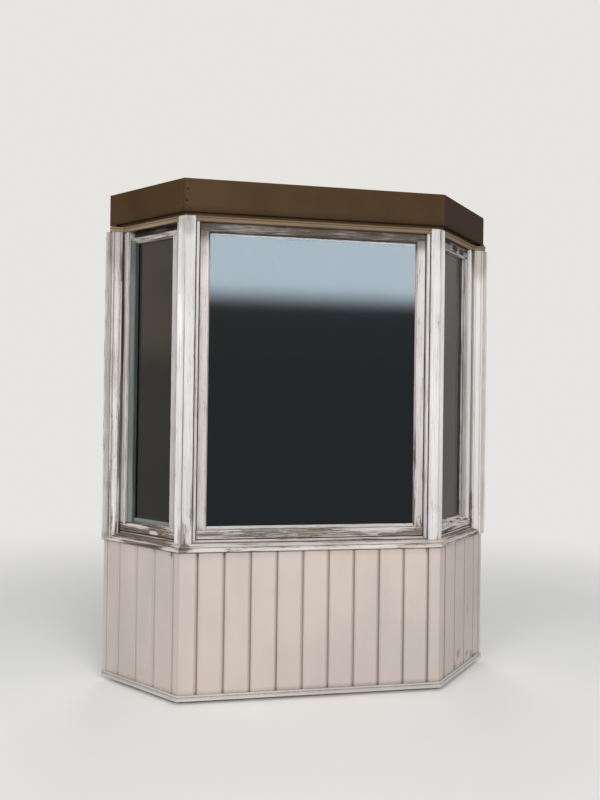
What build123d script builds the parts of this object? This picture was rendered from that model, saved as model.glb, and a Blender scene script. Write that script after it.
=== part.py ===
from build123d import *
import math
import os

# A walk-in bay window, cut off at the house wall. Lengths are in millimetres.
# +X is to the right, +Y runs into the wall, +Z is up. The origin is on the ground
# below the middle of the bay's depth. Every member is placed by its inset, which is
# the distance inward from the face line of the sill and the base trim.

# Plan of the face line
front_width = 1300.0
bay_depth = 385.0
flank_angle = 45.0

# Floor
underside_thickness = 18.0
underside_inset = 52.0
platform_height = 140.0
deck_thickness = 18.0

# Low wall below the sill
siding_inset = 10.0
siding_sheet = 2.0
groove_pitch = 127.0
groove_depth = 8.0
groove_slope = 10.0
groove_flat = 3.0
groove_return = 1.5
first_groove = 84.0
siding_bottom_gap = 4.0
sheathing_thickness = 12.0
core_thickness = 101.0
channel_width = 24.0
channel_thickness = 5.0
trim_height = 26.0
trim_lip = 8.0
trim_groove = 2.5

# Sill
apron_height = 698.0
sill_edge = 22.0
sill_rise = 26.0
sill_wash = 57.0
sill_step = 3.0
sill_step_inset = 38.0
sill_nose = 2.0

# Corner posts and wall jambs
post_inset = 30.0
post_face = 49.0
post_depth = 85.0
jamb_reach = 5.0
jamb_width = 84.0
jamb_thickness = 38.0
jamb_strip_width = 34.0
jamb_strip_thickness = 22.0
jamb_drop = 22.0
casing_bead = 8.0
casing_flute = 6.0
casing_flute_depth = 3.0
casing_edge = 4.0
casing_cove = 8.0
casing_cove_depth = 4.0

# Centre window, fixed
frame_inset = 60.0
frame_depth = 55.0
stile_width = 48.0
frame_gap = 22.0
bead_width = 7.0
bead_depth = 16.0
glass_unit = 20.0
glass_bite = 12.0
bottom_rail_face = 47.0
bottom_bead = 17.0
head_rail_height = 71.0
head_bead = 11.0
stop_width = 15.0
stop_inset = 42.0
stop_gap = 4.0
stop_depth = 38.0

# Side windows
sash_inset = 55.0
sash_depth = 45.0
sash_stile = 43.0
sash_post_gap = 23.0
sash_wall_gap = 10.3
side_glass_step = 17.0
side_stop_width = 15.0
side_stop_back = 50.0
spacer_inset = 80.0
sash_bead = 6.0
sash_rail_inset = 44.0
sash_rail_face = 40.0
sash_rail_top = 20.0
sash_head_height = 30.0
sash_head_gap = 56.0
sash_head_inset = 80.0

# Head
window_height = 1554.0
moulding_height = 23.0
moulding_inset = 30.0
moulding_lip = 7.0
moulding_step = 4.0
side_moulding_depth = 20.0
return_overhang = 4.0
return_overlap = 12.0
frieze_inset = 9.0
frieze_reveal = 13.0
frieze_height = 157.0
frieze_sheet = 2.0
frieze_leg_inset = 26.0
top_thickness = 18.0

cos_a = math.cos(math.radians(flank_angle))
sin_a = math.sin(math.radians(flank_angle))
miter = math.tan(math.radians(flank_angle / 2))
half_front = front_width / 2
front_y = -bay_depth / 2
wall_y = bay_depth / 2
half_wall = half_front + bay_depth * cos_a / sin_a
run = half_wall + bay_depth

sheathing_inset = siding_inset + siding_sheet + groove_depth
core_inset = sheathing_inset + sheathing_thickness
inner_inset = core_inset + core_thickness
deck_bottom = underside_thickness + platform_height
deck_top = deck_bottom + deck_thickness
sill_bottom = underside_thickness + apron_height
sill_top = sill_bottom + sill_edge + sill_rise
head_bottom = sill_top + window_height
frieze_bottom = head_bottom + frieze_reveal
frieze_top = frieze_bottom + frieze_height
post_back = post_inset + post_depth
jamb_outer = half_wall + jamb_reach
jamb_inner = jamb_outer - jamb_width
casing_start = jamb_outer - jamb_strip_width
jamb_bottom = sill_bottom + sill_edge - jamb_drop
ceiling_top = frieze_top - top_thickness
opening_half = half_front - miter * post_inset - post_face
opening_start = miter * post_inset + post_face
sash_start = opening_start + sash_post_gap
sash_end = (bay_depth - jamb_thickness - sash_inset * cos_a) / sin_a - sash_wall_gap

os.makedirs("parts", exist_ok=True)


def save(piece, name):
    piece.part.label = name
    export_step(piece.part, "parts/" + name + ".step")


def plan_point(face, along, inset):
    # A point in plan, from its distance along a face and its inset from the face line.
    # The front face is measured from its left ridge, and each flank from its own ridge.
    if face == "front":
        return (along - half_front, front_y + inset)
    x = half_front + along * cos_a - inset * sin_a
    y = front_y + along * sin_a + inset * cos_a
    return (x, y) if face == "right" else (-x, y)


def section_plane(face):
    # A vertical plane across a face, with its first axis inward and its second axis up.
    if face == "front":
        return Plane(origin=(0, front_y, 0), x_dir=(0, 1, 0), z_dir=(1, 0, 0))
    if face == "right":
        return Plane(origin=(half_front, front_y, 0), x_dir=(-sin_a, cos_a, 0), z_dir=(cos_a, sin_a, 0))
    return Plane(origin=(-half_front, front_y, 0), x_dir=(sin_a, cos_a, 0), z_dir=(cos_a, -sin_a, 0))


half_turn = math.radians(flank_angle / 2)
right_miter = Plane(origin=(half_front, front_y, 0), z_dir=(math.cos(half_turn), math.sin(half_turn), 0))
left_miter = Plane(origin=(-half_front, front_y, 0), z_dir=(-math.cos(half_turn), math.sin(half_turn), 0))
wall_plane = Plane(origin=(0, wall_y, 0), z_dir=(0, 1, 0))


def mitered_run(face, section):
    # A moulded length along one face, from a section of inset and height points.
    # It is mitered at the ridges and cut off at the wall.
    with BuildPart() as piece:
        with BuildSketch(section_plane(face)):
            with BuildLine():
                Polyline(section, close=True)
            make_face()
        extrude(amount=run, both=True)
        if face == "front":
            split(bisect_by=right_miter, keep=Keep.BOTTOM)
            split(bisect_by=left_miter, keep=Keep.BOTTOM)
        else:
            split(bisect_by=right_miter if face == "right" else left_miter, keep=Keep.TOP)
            split(bisect_by=wall_plane, keep=Keep.BOTTOM)
    return piece


def bay_outline(inset):
    # The bay's plan, moved inward by the inset and closed along the wall.
    ridge_x = half_front - miter * inset
    wall_x = half_wall - inset / sin_a
    return [(-wall_x, wall_y), (-ridge_x, front_y + inset), (ridge_x, front_y + inset), (wall_x, wall_y)]


def bay_slab(inset, bottom, top):
    with BuildPart() as piece:
        with BuildSketch(Plane.XY.offset(bottom)):
            with BuildLine():
                Polyline(bay_outline(inset), close=True)
            make_face()
        extrude(amount=top - bottom)
    return piece


def box_section(near, far, bottom, top):
    return [(near, bottom), (near, top), (far, top), (far, bottom)]


faces = ["front", "left", "right"]

# Floor: a set-back underside board, the framed platform and its deck
underside_board = bay_slab(underside_inset, 0, underside_thickness)
save(underside_board, "underside_board")

floor_platform = bay_slab(core_inset, underside_thickness, deck_bottom)
save(floor_platform, "floor_platform")

floor_deck = bay_slab(core_inset, deck_bottom, deck_top)
save(floor_deck, "floor_deck")

# Low wall: sheathing over the platform's edge, and the insulated wall on the deck
for face in faces:
    sheathing = mitered_run(face, box_section(sheathing_inset, core_inset, underside_thickness, sill_bottom))
    save(sheathing, face + "_sheathing")
    wall_core = mitered_run(face, box_section(core_inset, inner_inset, deck_top, sill_bottom))
    save(wall_core, face + "_wall_core")

# Siding: a formed sheet with V grooves at an even pitch, bent round both ridges.
# Positions are measured along the sheet's outer face, from the left ridge.
siding_front = front_width - 2 * miter * siding_inset
siding_flank = (bay_depth - siding_inset * cos_a) / sin_a - miter * siding_inset
groove_width = groove_slope + groove_flat + groove_return


def groove_line(groove, deeper):
    # Four points across one groove: a long slope in, a narrow bottom and a steep return.
    near = siding_inset + deeper
    start = groove - groove_width / 2
    bottom = near + groove_depth
    slope_shift = -deeper / 3
    return [
        (start + slope_shift, near),
        (start + groove_slope + slope_shift, bottom),
        (start + groove_slope + groove_flat + deeper, bottom),
        (start + groove_width + deeper, near),
    ]


def sheet_point(position, inset):
    if position < 0:
        return plan_point("left", -position + miter * siding_inset, inset)
    if position > siding_front:
        return plan_point("right", position - siding_front + miter * siding_inset, inset)
    return plan_point("front", position + miter * siding_inset, inset)


def seam(groove):
    # Two sheets meet on the narrow bottom of a groove.
    return groove - groove_width / 2 + groove_slope + groove_flat / 2


def full_grooves(low, high):
    count = int((high - first_groove) // groove_pitch) + 1
    first = int((low - first_groove) // groove_pitch) + 1
    return [first_groove + groove_pitch * number for number in range(first, count)]


left_grooves = full_grooves(-siding_flank + groove_width, first_groove - groove_width)
middle_grooves = full_grooves(first_groove + groove_width, siding_front - groove_width)
last_groove = middle_grooves[-1]
middle_grooves = middle_grooves[:-1]
right_grooves = full_grooves(last_groove + groove_width, siding_front + siding_flank - groove_width)


def groove_part(groove, keep_left, deeper):
    # The half of a groove on one side of its seam.
    points = groove_line(groove, deeper)
    return points[:2] if keep_left else points[2:]


def siding_outline(start, end, grooves, start_groove, end_groove):
    # The closed plan outline of one sheet. Its ends are at the wall or at a groove's seam.
    sides = []
    for deeper in (0, siding_sheet):
        near = siding_inset + deeper
        low = near + (0 if start_groove is None else groove_depth)
        high = near + (0 if end_groove is None else groove_depth)
        points = [(start, low)]
        if start_groove is not None:
            points += groove_part(start_groove, False, deeper)
        for groove in grooves:
            points += groove_line(groove, deeper)
        if end_groove is not None:
            points += groove_part(end_groove, True, deeper)
        points.append((end, high))
        line = [(position, sheet_point(position, inset)) for position, inset in points]
        for ridge, along in ((0, miter * near), (siding_front, front_width - miter * near)):
            if start < ridge < end:
                line.append((ridge, plan_point("front", along, near)))
        line.sort(key=lambda entry: entry[0])
        sides.append([point for position, point in line])
    return sides[0] + sides[1][::-1]


siding_bottom = underside_thickness + siding_bottom_gap
overrun = siding_flank + bay_depth
siding_runs = {
    "left_siding": (-overrun, seam(first_groove), left_grooves, None, first_groove),
    "front_siding": (seam(first_groove), seam(last_groove), middle_grooves, first_groove, last_groove),
    "right_siding": (seam(last_groove), siding_front + overrun, right_grooves, last_groove, None),
}
for name, sheet in siding_runs.items():
    with BuildPart() as siding:
        with BuildSketch(Plane.XY.offset(siding_bottom)):
            with BuildLine():
                Polyline(siding_outline(*sheet), close=True)
            make_face()
        extrude(amount=sill_bottom - siding_bottom)
        split(bisect_by=wall_plane, keep=Keep.BOTTOM)
    save(siding, name)

# Base trim: a lipped strip over the foot of the siding
trim_top = underside_thickness + trim_height
trim_section = [
    (0, underside_thickness),
    (0, trim_top - trim_lip - trim_groove),
    (trim_groove, trim_top - trim_lip),
    (0, trim_top - trim_lip + trim_groove / 2),
    (0, trim_top - trim_groove),
    (trim_groove, trim_top),
    (siding_inset, trim_top),
    (siding_inset, underside_thickness),
]
for face in faces:
    base_trim = mitered_run(face, trim_section)
    save(base_trim, face + "_base_trim")

# Channels that hold the siding's ends against the wall
with BuildPart() as wall_channels:
    for face in ("left", "right"):
        near = siding_inset - channel_thickness
        end_along = (bay_depth - near * cos_a) / sin_a
        with BuildSketch(Plane.XY.offset(trim_top)):
            with BuildLine():
                Polyline(
                    plan_point(face, end_along - channel_width, near),
                    plan_point(face, end_along - channel_width, siding_inset),
                    plan_point(face, end_along + channel_width, siding_inset),
                    plan_point(face, end_along + channel_width, near),
                    close=True,
                )
            make_face()
        extrude(amount=sill_bottom - trim_top)
    split(bisect_by=wall_plane, keep=Keep.BOTTOM)
save(wall_channels, "wall_channels")

# Sill: a washed top with a small step, and a square edge with a rounded nose
edge_top = sill_bottom + sill_edge
wash_slope = (sill_rise - sill_step) / (sill_wash - sill_nose)
step_height = edge_top + wash_slope * (sill_step_inset - sill_nose)
sill_section = [
    (0, sill_bottom),
    (0, edge_top - sill_nose),
    (sill_nose, edge_top),
    (sill_step_inset, step_height),
    (sill_step_inset, step_height + sill_step),
    (sill_wash, sill_top),
    (inner_inset, sill_top),
    (inner_inset, sill_bottom),
]
sills = {}
for face in faces:
    sills[face] = mitered_run(face, sill_section)
    save(sills[face], face + "_sill")

# Corner posts: two faces that follow the bay's corner, coped over the sill
for face in ("left", "right"):
    mirrored = -1 if face == "left" else 1
    ridge_front = half_front - miter * post_inset
    ridge_back = half_front - miter * post_back
    with BuildPart() as corner_post:
        with BuildSketch(Plane.XY.offset(edge_top)):
            with BuildLine():
                Polyline(
                    (mirrored * opening_half, front_y + post_inset),
                    (mirrored * ridge_front, front_y + post_inset),
                    plan_point(face, opening_start, post_inset),
                    plan_point(face, opening_start, post_back),
                    (mirrored * ridge_back, front_y + post_back),
                    (mirrored * opening_half, front_y + post_back),
                    close=True,
                )
            make_face()
        extrude(amount=head_bottom - edge_top)
        add(sills["front"].part, mode=Mode.SUBTRACT)
        add(sills[face].part, mode=Mode.SUBTRACT)
    save(corner_post, face + "_corner_post")

# Length along a flank, between two distances from its ridge, cut off at the wall
def flank_length(face, sections, start, end):
    # Sections are of inset and height.
    base = section_plane(face)
    outward = 1 if face == "right" else -1
    with BuildPart() as piece:
        with BuildSketch(base.offset(outward * start)):
            for section in sections:
                with BuildLine():
                    Polyline(section, close=True)
                make_face()
        extrude(amount=outward * (end - start))
        split(bisect_by=wall_plane, keep=Keep.BOTTOM)
    return piece


# Head moulding: a stepped strip below the header, from the posts to the wall.
# At the wall it returns over the top of the casing.
moulding_bottom = head_bottom - moulding_height
return_front = wall_y - jamb_thickness - return_overhang
return_start = half_wall - moulding_inset / sin_a - (wall_y - return_front) * cos_a / sin_a
return_end = casing_start + return_overlap


def moulding_section(near, back):
    return [
        (near, head_bottom),
        (near, head_bottom - moulding_lip),
        (near + moulding_step, head_bottom - moulding_lip),
        (near + moulding_step, moulding_bottom + moulding_lip),
        (near + 2 * moulding_step, moulding_bottom),
        (back, moulding_bottom),
        (back, head_bottom),
    ]


mouldings = {}
with BuildPart() as front_moulding:
    with BuildSketch(section_plane("front")):
        with BuildLine():
            Polyline(moulding_section(moulding_inset, frame_inset), close=True)
        make_face()
    extrude(amount=opening_half, both=True)
mouldings["front"] = front_moulding
for face in ("left", "right"):
    side_section = moulding_section(moulding_inset, moulding_inset + side_moulding_depth)
    side_length = flank_length(face, [side_section], opening_start, run)
    mirrored = -1 if face == "left" else 1
    with BuildPart() as side_moulding:
        add(side_length.part)
        with BuildSketch(Plane(origin=(mirrored * return_start, 0, 0), x_dir=(0, 1, 0), z_dir=(1, 0, 0))):
            with BuildLine():
                Polyline(moulding_section(return_front, wall_y), close=True)
            make_face()
        extrude(amount=mirrored * (return_end - return_start))
    mouldings[face] = side_moulding
for face in faces:
    save(mouldings[face], face + "_head_moulding")

# Headers above the windows, faced by formed metal panels
sheet_back = frieze_inset + frieze_sheet
header_section = [
    (frieze_leg_inset + frieze_sheet, head_bottom),
    (frieze_leg_inset + frieze_sheet, frieze_bottom + frieze_sheet),
    (sheet_back, frieze_bottom + frieze_sheet),
    (sheet_back, ceiling_top),
    (inner_inset, ceiling_top),
    (inner_inset, head_bottom),
]
frieze_section = [
    (frieze_inset, frieze_top),
    (frieze_inset, frieze_bottom),
    (frieze_leg_inset, frieze_bottom),
    (frieze_leg_inset, head_bottom),
    (frieze_leg_inset + frieze_sheet, head_bottom),
    (frieze_leg_inset + frieze_sheet, frieze_bottom + frieze_sheet),
    (sheet_back, frieze_bottom + frieze_sheet),
    (sheet_back, frieze_top),
]
headers = {}
friezes = {}
for face in faces:
    headers[face] = mitered_run(face, header_section)
    friezes[face] = mitered_run(face, frieze_section)
    save(friezes[face], face + "_frieze")
save(headers["front"], "front_header")
with BuildPart() as side_headers:
    add(headers["left"].part)
    add(headers["right"].part)
save(side_headers, "side_headers")

# Wall jambs: a moulded casing beside a lower strip, flat against the wall.
# They run from beside the sill up to the underside of the head moulding.
wall_jambs = {}
flute_start = casing_start - casing_bead
cove_start = jamb_inner + casing_edge + casing_cove
jamb_profile = [
    (jamb_outer, 0),
    (jamb_outer, jamb_strip_thickness),
    (casing_start, jamb_strip_thickness),
    (casing_start, jamb_thickness),
    (flute_start, jamb_thickness),
    (flute_start - casing_flute / 3, jamb_thickness - casing_flute_depth),
    (flute_start - casing_flute * 2 / 3, jamb_thickness - casing_flute_depth),
    (flute_start - casing_flute, jamb_thickness),
    (cove_start, jamb_thickness),
    (cove_start - casing_cove / 2, jamb_thickness - casing_cove_depth),
    (cove_start - casing_cove, jamb_thickness),
    (jamb_inner, jamb_thickness),
    (jamb_inner, 0),
]
for face in ("left", "right"):
    mirrored = -1 if face == "left" else 1
    with BuildPart() as wall_jamb:
        with BuildSketch(Plane.XY.offset(jamb_bottom)):
            with BuildLine():
                Polyline([(mirrored * x, wall_y - depth) for x, depth in jamb_profile], close=True)
            make_face()
        extrude(amount=moulding_bottom - jamb_bottom)
        add(sills[face].part, mode=Mode.SUBTRACT)
    wall_jambs[face] = wall_jamb
    save(wall_jamb, face + "_wall_jamb")

# Centre window: rails right across, stiles coped between them, a sealed glass unit
frame_half = opening_half - frame_gap
frame_back = frame_inset + frame_depth
glass_near = frame_inset + bead_depth
glass_far = glass_near + glass_unit
face_top = sill_top + bottom_rail_face
glass_bottom = face_top + bottom_bead
head_face = head_bottom - head_rail_height + head_bead
glass_top = head_bottom - head_rail_height


def rail_section(near, back, glass, glass_back, base, face_end, glass_end, bite):
    # Base is the rail's outer side, face_end the end of its flat face, glass_end the sight line.
    return [
        (near, base),
        (near, face_end),
        (glass, glass_end),
        (glass, glass_end - bite),
        (glass_back, glass_end - bite),
        (glass_back, glass_end),
        (back, glass_end),
        (back, base),
    ]


bottom_section = rail_section(
    frame_inset, frame_back, glass_near, glass_far, sill_top, face_top, glass_bottom, glass_bite
)
head_section = rail_section(
    frame_inset, frame_back, glass_near, glass_far, head_bottom, head_face, glass_top, -glass_bite
)
with BuildPart() as centre_rails:
    with BuildSketch(section_plane("front")):
        with BuildLine():
            Polyline(bottom_section, close=True)
        make_face()
        with BuildLine():
            Polyline(head_section, close=True)
        make_face()
    extrude(amount=frame_half, both=True)
save(centre_rails, "centre_rails")

sight_half = frame_half - stile_width
with BuildPart() as centre_stiles:
    with BuildSketch(Plane.XY.offset(sill_top)) as stile_plan:
        with BuildLine():
            Polyline(
                (frame_half, front_y + frame_inset),
                (sight_half + bead_width, front_y + frame_inset),
                (sight_half, front_y + glass_near),
                (sight_half + glass_bite, front_y + glass_near),
                (sight_half + glass_bite, front_y + glass_far),
                (sight_half, front_y + glass_far),
                (sight_half, front_y + frame_back),
                (frame_half, front_y + frame_back),
                close=True,
            )
        make_face()
        mirror(about=Plane.YZ)
    extrude(amount=head_bottom - sill_top)
    add(centre_rails.part, mode=Mode.SUBTRACT)
save(centre_stiles, "centre_stiles")

with BuildPart() as centre_glass:
    with BuildSketch(Plane.XY.offset(glass_bottom - glass_bite)):
        with Locations((0, front_y + glass_near + glass_unit / 2)):
            Rectangle(2 * (sight_half + glass_bite), glass_unit)
    extrude(amount=glass_top - glass_bottom + 2 * glass_bite)
save(centre_glass, "centre_glass")

with BuildPart() as centre_stops:
    with BuildSketch(Plane.XY.offset(edge_top)):
        with BuildLine():
            Polyline(
                (frame_half + stop_gap, front_y + stop_inset),
                (frame_half + stop_gap + stop_width, front_y + stop_inset),
                (frame_half + stop_gap + stop_width, front_y + stop_inset + stop_depth),
                (opening_half, front_y + stop_inset + stop_depth),
                (opening_half, front_y + frame_back),
                (frame_half, front_y + frame_back),
                (frame_half, front_y + stop_inset + stop_depth),
                (frame_half + stop_gap, front_y + stop_inset + stop_depth),
                close=True,
            )
        make_face()
        mirror(about=Plane.YZ)
    extrude(amount=head_bottom - edge_top)
    add(sills["front"].part, mode=Mode.SUBTRACT)
    add(mouldings["front"].part, mode=Mode.SUBTRACT)
save(centre_stops, "centre_stops")

# Side windows: a bottom board right across the opening, and a sash with stops that stand on it
sash_back = sash_inset + sash_depth
board_top = sill_top + sash_rail_face
side_glass_near = sash_inset + side_glass_step
side_glass_far = side_glass_near + glass_unit
side_glass_bottom = board_top + sash_rail_top
side_glass_top = head_bottom - sash_head_gap - sash_head_height


def flank_prism(face, outlines, bottom, top, cutters):
    # Upright pieces on a flank, from plan outlines of distance along the flank and inset.
    with BuildPart() as piece:
        for outline in outlines:
            with BuildSketch(Plane.XY.offset(bottom)):
                with BuildLine():
                    Polyline([plan_point(face, along, inset) for along, inset in outline], close=True)
                make_face()
            extrude(amount=top - bottom)
        split(bisect_by=wall_plane, keep=Keep.BOTTOM)
        for cutter in cutters:
            add(cutter.part, mode=Mode.SUBTRACT)
    return piece


sash_bottom_section = [
    (sash_rail_inset, sill_top),
    (sash_rail_inset, board_top),
    (side_glass_near, side_glass_bottom),
    (side_glass_near, side_glass_bottom - glass_bite),
    (side_glass_far, side_glass_bottom - glass_bite),
    (side_glass_far, side_glass_bottom),
    (sash_back, side_glass_bottom),
    (sash_back, sill_top),
]
sash_head_section = [
    (sash_inset, head_bottom - sash_head_gap),
    (sash_inset, side_glass_top + sash_bead),
    (side_glass_near, side_glass_top),
    (side_glass_near, side_glass_top + glass_bite),
    (side_glass_far, side_glass_top + glass_bite),
    (side_glass_far, side_glass_top),
    (sash_back, side_glass_top),
    (sash_back, head_bottom),
    (sash_head_inset, head_bottom),
    (sash_head_inset, head_bottom - sash_head_gap),
]


def sash_stile_outline(outer, inward):
    # A sash stile in plan. Inward is 1 when the glass is further along the flank.
    sight = outer + inward * sash_stile
    return [
        (outer, sash_inset),
        (sight - inward * sash_bead, sash_inset),
        (sight, side_glass_near),
        (sight - inward * glass_bite, side_glass_near),
        (sight - inward * glass_bite, side_glass_far),
        (sight, side_glass_far),
        (sight, sash_back),
        (outer, sash_back),
    ]


def side_stop_outline(edge, outward, far):
    # A stop in front of a spacer that reaches from the sash's edge to what holds the window.
    front_near = edge + outward * stop_gap
    front_far = front_near + outward * side_stop_width
    return [
        (front_near, stop_inset),
        (front_far, stop_inset),
        (front_far, side_stop_back),
        (far, side_stop_back),
        (far, sash_back),
        (edge, sash_back),
        (edge, spacer_inset),
        (front_near, spacer_inset),
    ]


for face in ("left", "right"):
    bottom_board = flank_length(face, [sash_bottom_section], opening_start, run)
    sash_head = flank_length(face, [sash_head_section], sash_start, sash_end)
    with BuildPart() as sash_rails:
        add(bottom_board.part)
        add(wall_jambs[face].part, mode=Mode.SUBTRACT)
        add(sash_head.part)
    save(sash_rails, face + "_sash_rails")
    stile_outlines = [sash_stile_outline(sash_start, 1), sash_stile_outline(sash_end, -1)]
    sash_stiles = flank_prism(face, stile_outlines, board_top, head_bottom - sash_head_gap, [sash_rails])
    save(sash_stiles, face + "_sash_stiles")
    stop_outlines = [
        side_stop_outline(sash_start, -1, opening_start),
        side_stop_outline(sash_end, 1, sash_end + bay_depth),
    ]
    stop_cutters = [wall_jambs[face], mouldings[face], sash_rails]
    side_stops = flank_prism(face, stop_outlines, board_top, head_bottom, stop_cutters)
    save(side_stops, face + "_stops")
    glass_outline = [
        (sash_start + sash_stile - glass_bite, side_glass_near),
        (sash_start + sash_stile - glass_bite, side_glass_far),
        (sash_end - sash_stile + glass_bite, side_glass_far),
        (sash_end - sash_stile + glass_bite, side_glass_near),
    ]
    side_glass = flank_prism(
        face, [glass_outline], side_glass_bottom - glass_bite, side_glass_top + glass_bite, []
    )
    save(side_glass, face + "_glass")

# Ceiling between the headers, and the board that closes the top
ceiling_platform = bay_slab(inner_inset, head_bottom, ceiling_top)
save(ceiling_platform, "ceiling_platform")

top_board = bay_slab(sheet_back, ceiling_top, frieze_top)
save(top_board, "top_board")
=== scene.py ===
import math

import bpy
import numpy as np
from mathutils import Matrix, Vector


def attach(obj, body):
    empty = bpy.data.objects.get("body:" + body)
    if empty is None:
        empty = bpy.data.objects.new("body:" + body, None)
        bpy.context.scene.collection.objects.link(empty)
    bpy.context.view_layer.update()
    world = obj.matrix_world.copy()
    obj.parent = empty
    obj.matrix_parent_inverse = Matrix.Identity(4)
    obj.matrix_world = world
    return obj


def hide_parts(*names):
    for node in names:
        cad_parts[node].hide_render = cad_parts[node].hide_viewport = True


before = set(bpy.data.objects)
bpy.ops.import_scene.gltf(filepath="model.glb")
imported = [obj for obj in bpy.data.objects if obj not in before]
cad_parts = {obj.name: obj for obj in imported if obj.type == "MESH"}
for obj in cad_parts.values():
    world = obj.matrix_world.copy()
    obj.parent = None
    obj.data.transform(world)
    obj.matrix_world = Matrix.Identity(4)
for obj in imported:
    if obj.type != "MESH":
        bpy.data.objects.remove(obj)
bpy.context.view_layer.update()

# The bay's lengths are in millimetres and become metres when a mesh is made.
# The camera and the studio are in metres. Colours are written as they look on a screen, 0 to 255.
bayPlan = {"frontWidth": 1300.0, "depth": 385.0, "flankAngle": 45.0}
photoView = {
    "place": (-0.639, -3.5344, 1.421), "yaw": -9.496, "pitch": 0.391, "roll": -0.757, "lens": 31.52,
}
studio = {
    "background": (230, 229, 226),
    "floor": (240, 239, 236),
    "floorRings": (0.2, 1.0, 2.0, 3.0, 4.0, 6.0, 9.0, 14.0),
    "floorSides": 96,
    "floorFade": (2.0, 5.0),
    "skyColour": (250, 252, 255),
    "skyStrength": 0.30,
    "lampColour": (252, 252, 253),
}
# place, aim, width and height, radiance, and the share of the height over which the light fades in
softboxes = {
    "frontBox": ((1.1, -6.0, 3.38), (1.1, 0.0, 3.1), (3.3, 1.4), 18.6, 0.28),
    "leftBox": ((-4.4, -4.0, 3.2), (-0.6, 0.0, 1.4), (2.6, 2.0), 8.0, 0.30),
    "topBox": ((0.0, -2.2, 5.6), (0.0, -0.3, 0.9), (4.2, 2.6), 2.2, 0.30),
    "backBox": ((0.8, 5.6, 3.0), (0.0, 0.0, 1.3), (4.2, 2.6), 3.6, 0.30),
}


def linear(colour):
    # channel = ((c / 255 + 0.055) / 1.055) to the power 2.4
    values = ((np.asarray(colour, float) / 255 + 0.055) / 1.055) ** 2.4
    return (*values.tolist(), 1.0)


def linearLook(look):
    # the same look with its screen colours made linear
    return {key: linear(value) if isinstance(value, tuple) else value for key, value in look.items()}


def put(tree, kind, inputs=None, **settings):
    # one node, with its settings, and its inputs given as values or as sockets
    node = tree.nodes.new(kind)
    for key, value in settings.items():
        setattr(node, key, value)
    for key, value in (inputs or {}).items():
        if isinstance(value, bpy.types.NodeSocket):
            tree.links.new(value, node.inputs[key])
        else:
            node.inputs[key].default_value = value
    return node


def maths(tree, operation, *values, clamp=False):
    # one operation on one or two values, kept between 0 and 1 when clamp is set
    inputs = dict(enumerate(values))
    return put(tree, "ShaderNodeMath", inputs, operation=operation, use_clamp=clamp).outputs[0]


def times(tree, value, amount, clamp=False):
    # value x amount
    return maths(tree, "MULTIPLY", value, amount, clamp=clamp)


def total(tree, *terms):
    # the sum of the terms
    result = terms[0]
    for term in terms[1:]:
        result = maths(tree, "ADD", result, term)
    return result


def weighted(tree, *pairs):
    # the sum of value x share over the pairs
    return total(tree, *(times(tree, value, share) for value, share in pairs))


def rise(tree, value, low, high, bottom=0.0, top=1.0):
    # a smooth step from bottom to top as the value goes from low to high
    inputs = {"Value": value, "From Min": low, "From Max": high, "To Min": bottom, "To Max": top}
    return put(tree, "ShaderNodeMapRange", inputs, interpolation_type="SMOOTHSTEP").outputs[0]


def layered(tree, colour, *layers):
    # each layer is an amount and the colour that it lays over those before: colour + amount (over - colour)
    for amount, over in layers:
        colour = put(tree, "ShaderNodeMix", {0: amount, 6: colour, 7: over}, data_type="RGBA").outputs[2]
    return colour


def noise(tree, vector, scale, detail, roughness, distortion=0.0):
    # cloudy noise of the vector times the three scales
    scaled = put(tree, "ShaderNodeVectorMath", {0: vector, 1: scale}, operation="MULTIPLY").outputs[0]
    inputs = {"Vector": scaled, "Scale": 1.0, "Detail": detail, "Roughness": roughness}
    inputs["Distortion"] = distortion
    return put(tree, "ShaderNodeTexNoise", inputs).outputs["Fac"]


def field(tree, name):
    # the piece's own value of that name at each point
    return put(tree, "ShaderNodeAttribute", attribute_type="GEOMETRY", attribute_name=name).outputs["Fac"]


def objectPlace(tree):
    # the place on the piece, in metres
    return put(tree, "ShaderNodeTexCoord").outputs["Object"]


def startMaterial(name):
    # an empty material and its node tree
    material = bpy.data.materials.new(name)
    material.use_nodes = True
    material.node_tree.nodes.clear()
    return material, material.node_tree


def finishMaterial(tree, colour, roughness, height, depth, **sockets):
    # the shader, with a bump of the height field; constant sockets are set on the shader itself
    bump = put(tree, "ShaderNodeBump", {"Height": height, "Strength": 1.0, "Distance": depth})
    shader = put(tree, "ShaderNodeBsdfPrincipled", {"Base Color": colour, "Roughness": roughness})
    tree.links.new(bump.outputs[0], shader.inputs["Normal"])
    for key, value in sockets.items():
        shader.inputs[key.replace("_", " ")].default_value = value
    put(tree, "ShaderNodeOutputMaterial", {"Surface": shader.outputs[0]})


def ringFaces(rows, count):
    # quads between rings of points that are numbered one after another, and a cap at each end
    row = np.arange(rows - 1)[:, None] * count
    here = np.arange(count)[None]
    after = (here + 1) % count
    quads = np.stack([row + here, row + after, row + count + after, row + count + here], -1).reshape(-1, 4)
    caps = np.stack([np.arange(count)[::-1], (rows - 1) * count + np.arange(count)])
    return quads, caps


# Camera
def setCamera(view):
    # the camera is turned by yaw, then pitch, then roll, and a quarter turn makes it look forward, not down
    turned = Matrix.Identity(4)
    for angle, axis in ((view["yaw"], "Z"), (view["pitch"], "X"), (view["roll"], "Y"), (90, "X")):
        turned = turned @ Matrix.Rotation(math.radians(angle), 4, axis)
    data = bpy.data.cameras.new("photoCamera")
    data.lens = view["lens"]
    camera = bpy.data.objects.new("photoCamera", data)
    camera.matrix_world = Matrix.Translation(view["place"]) @ turned
    bpy.context.scene.collection.objects.link(camera)
    bpy.context.scene.camera = camera


setCamera(photoView)
print("camera set")


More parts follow.
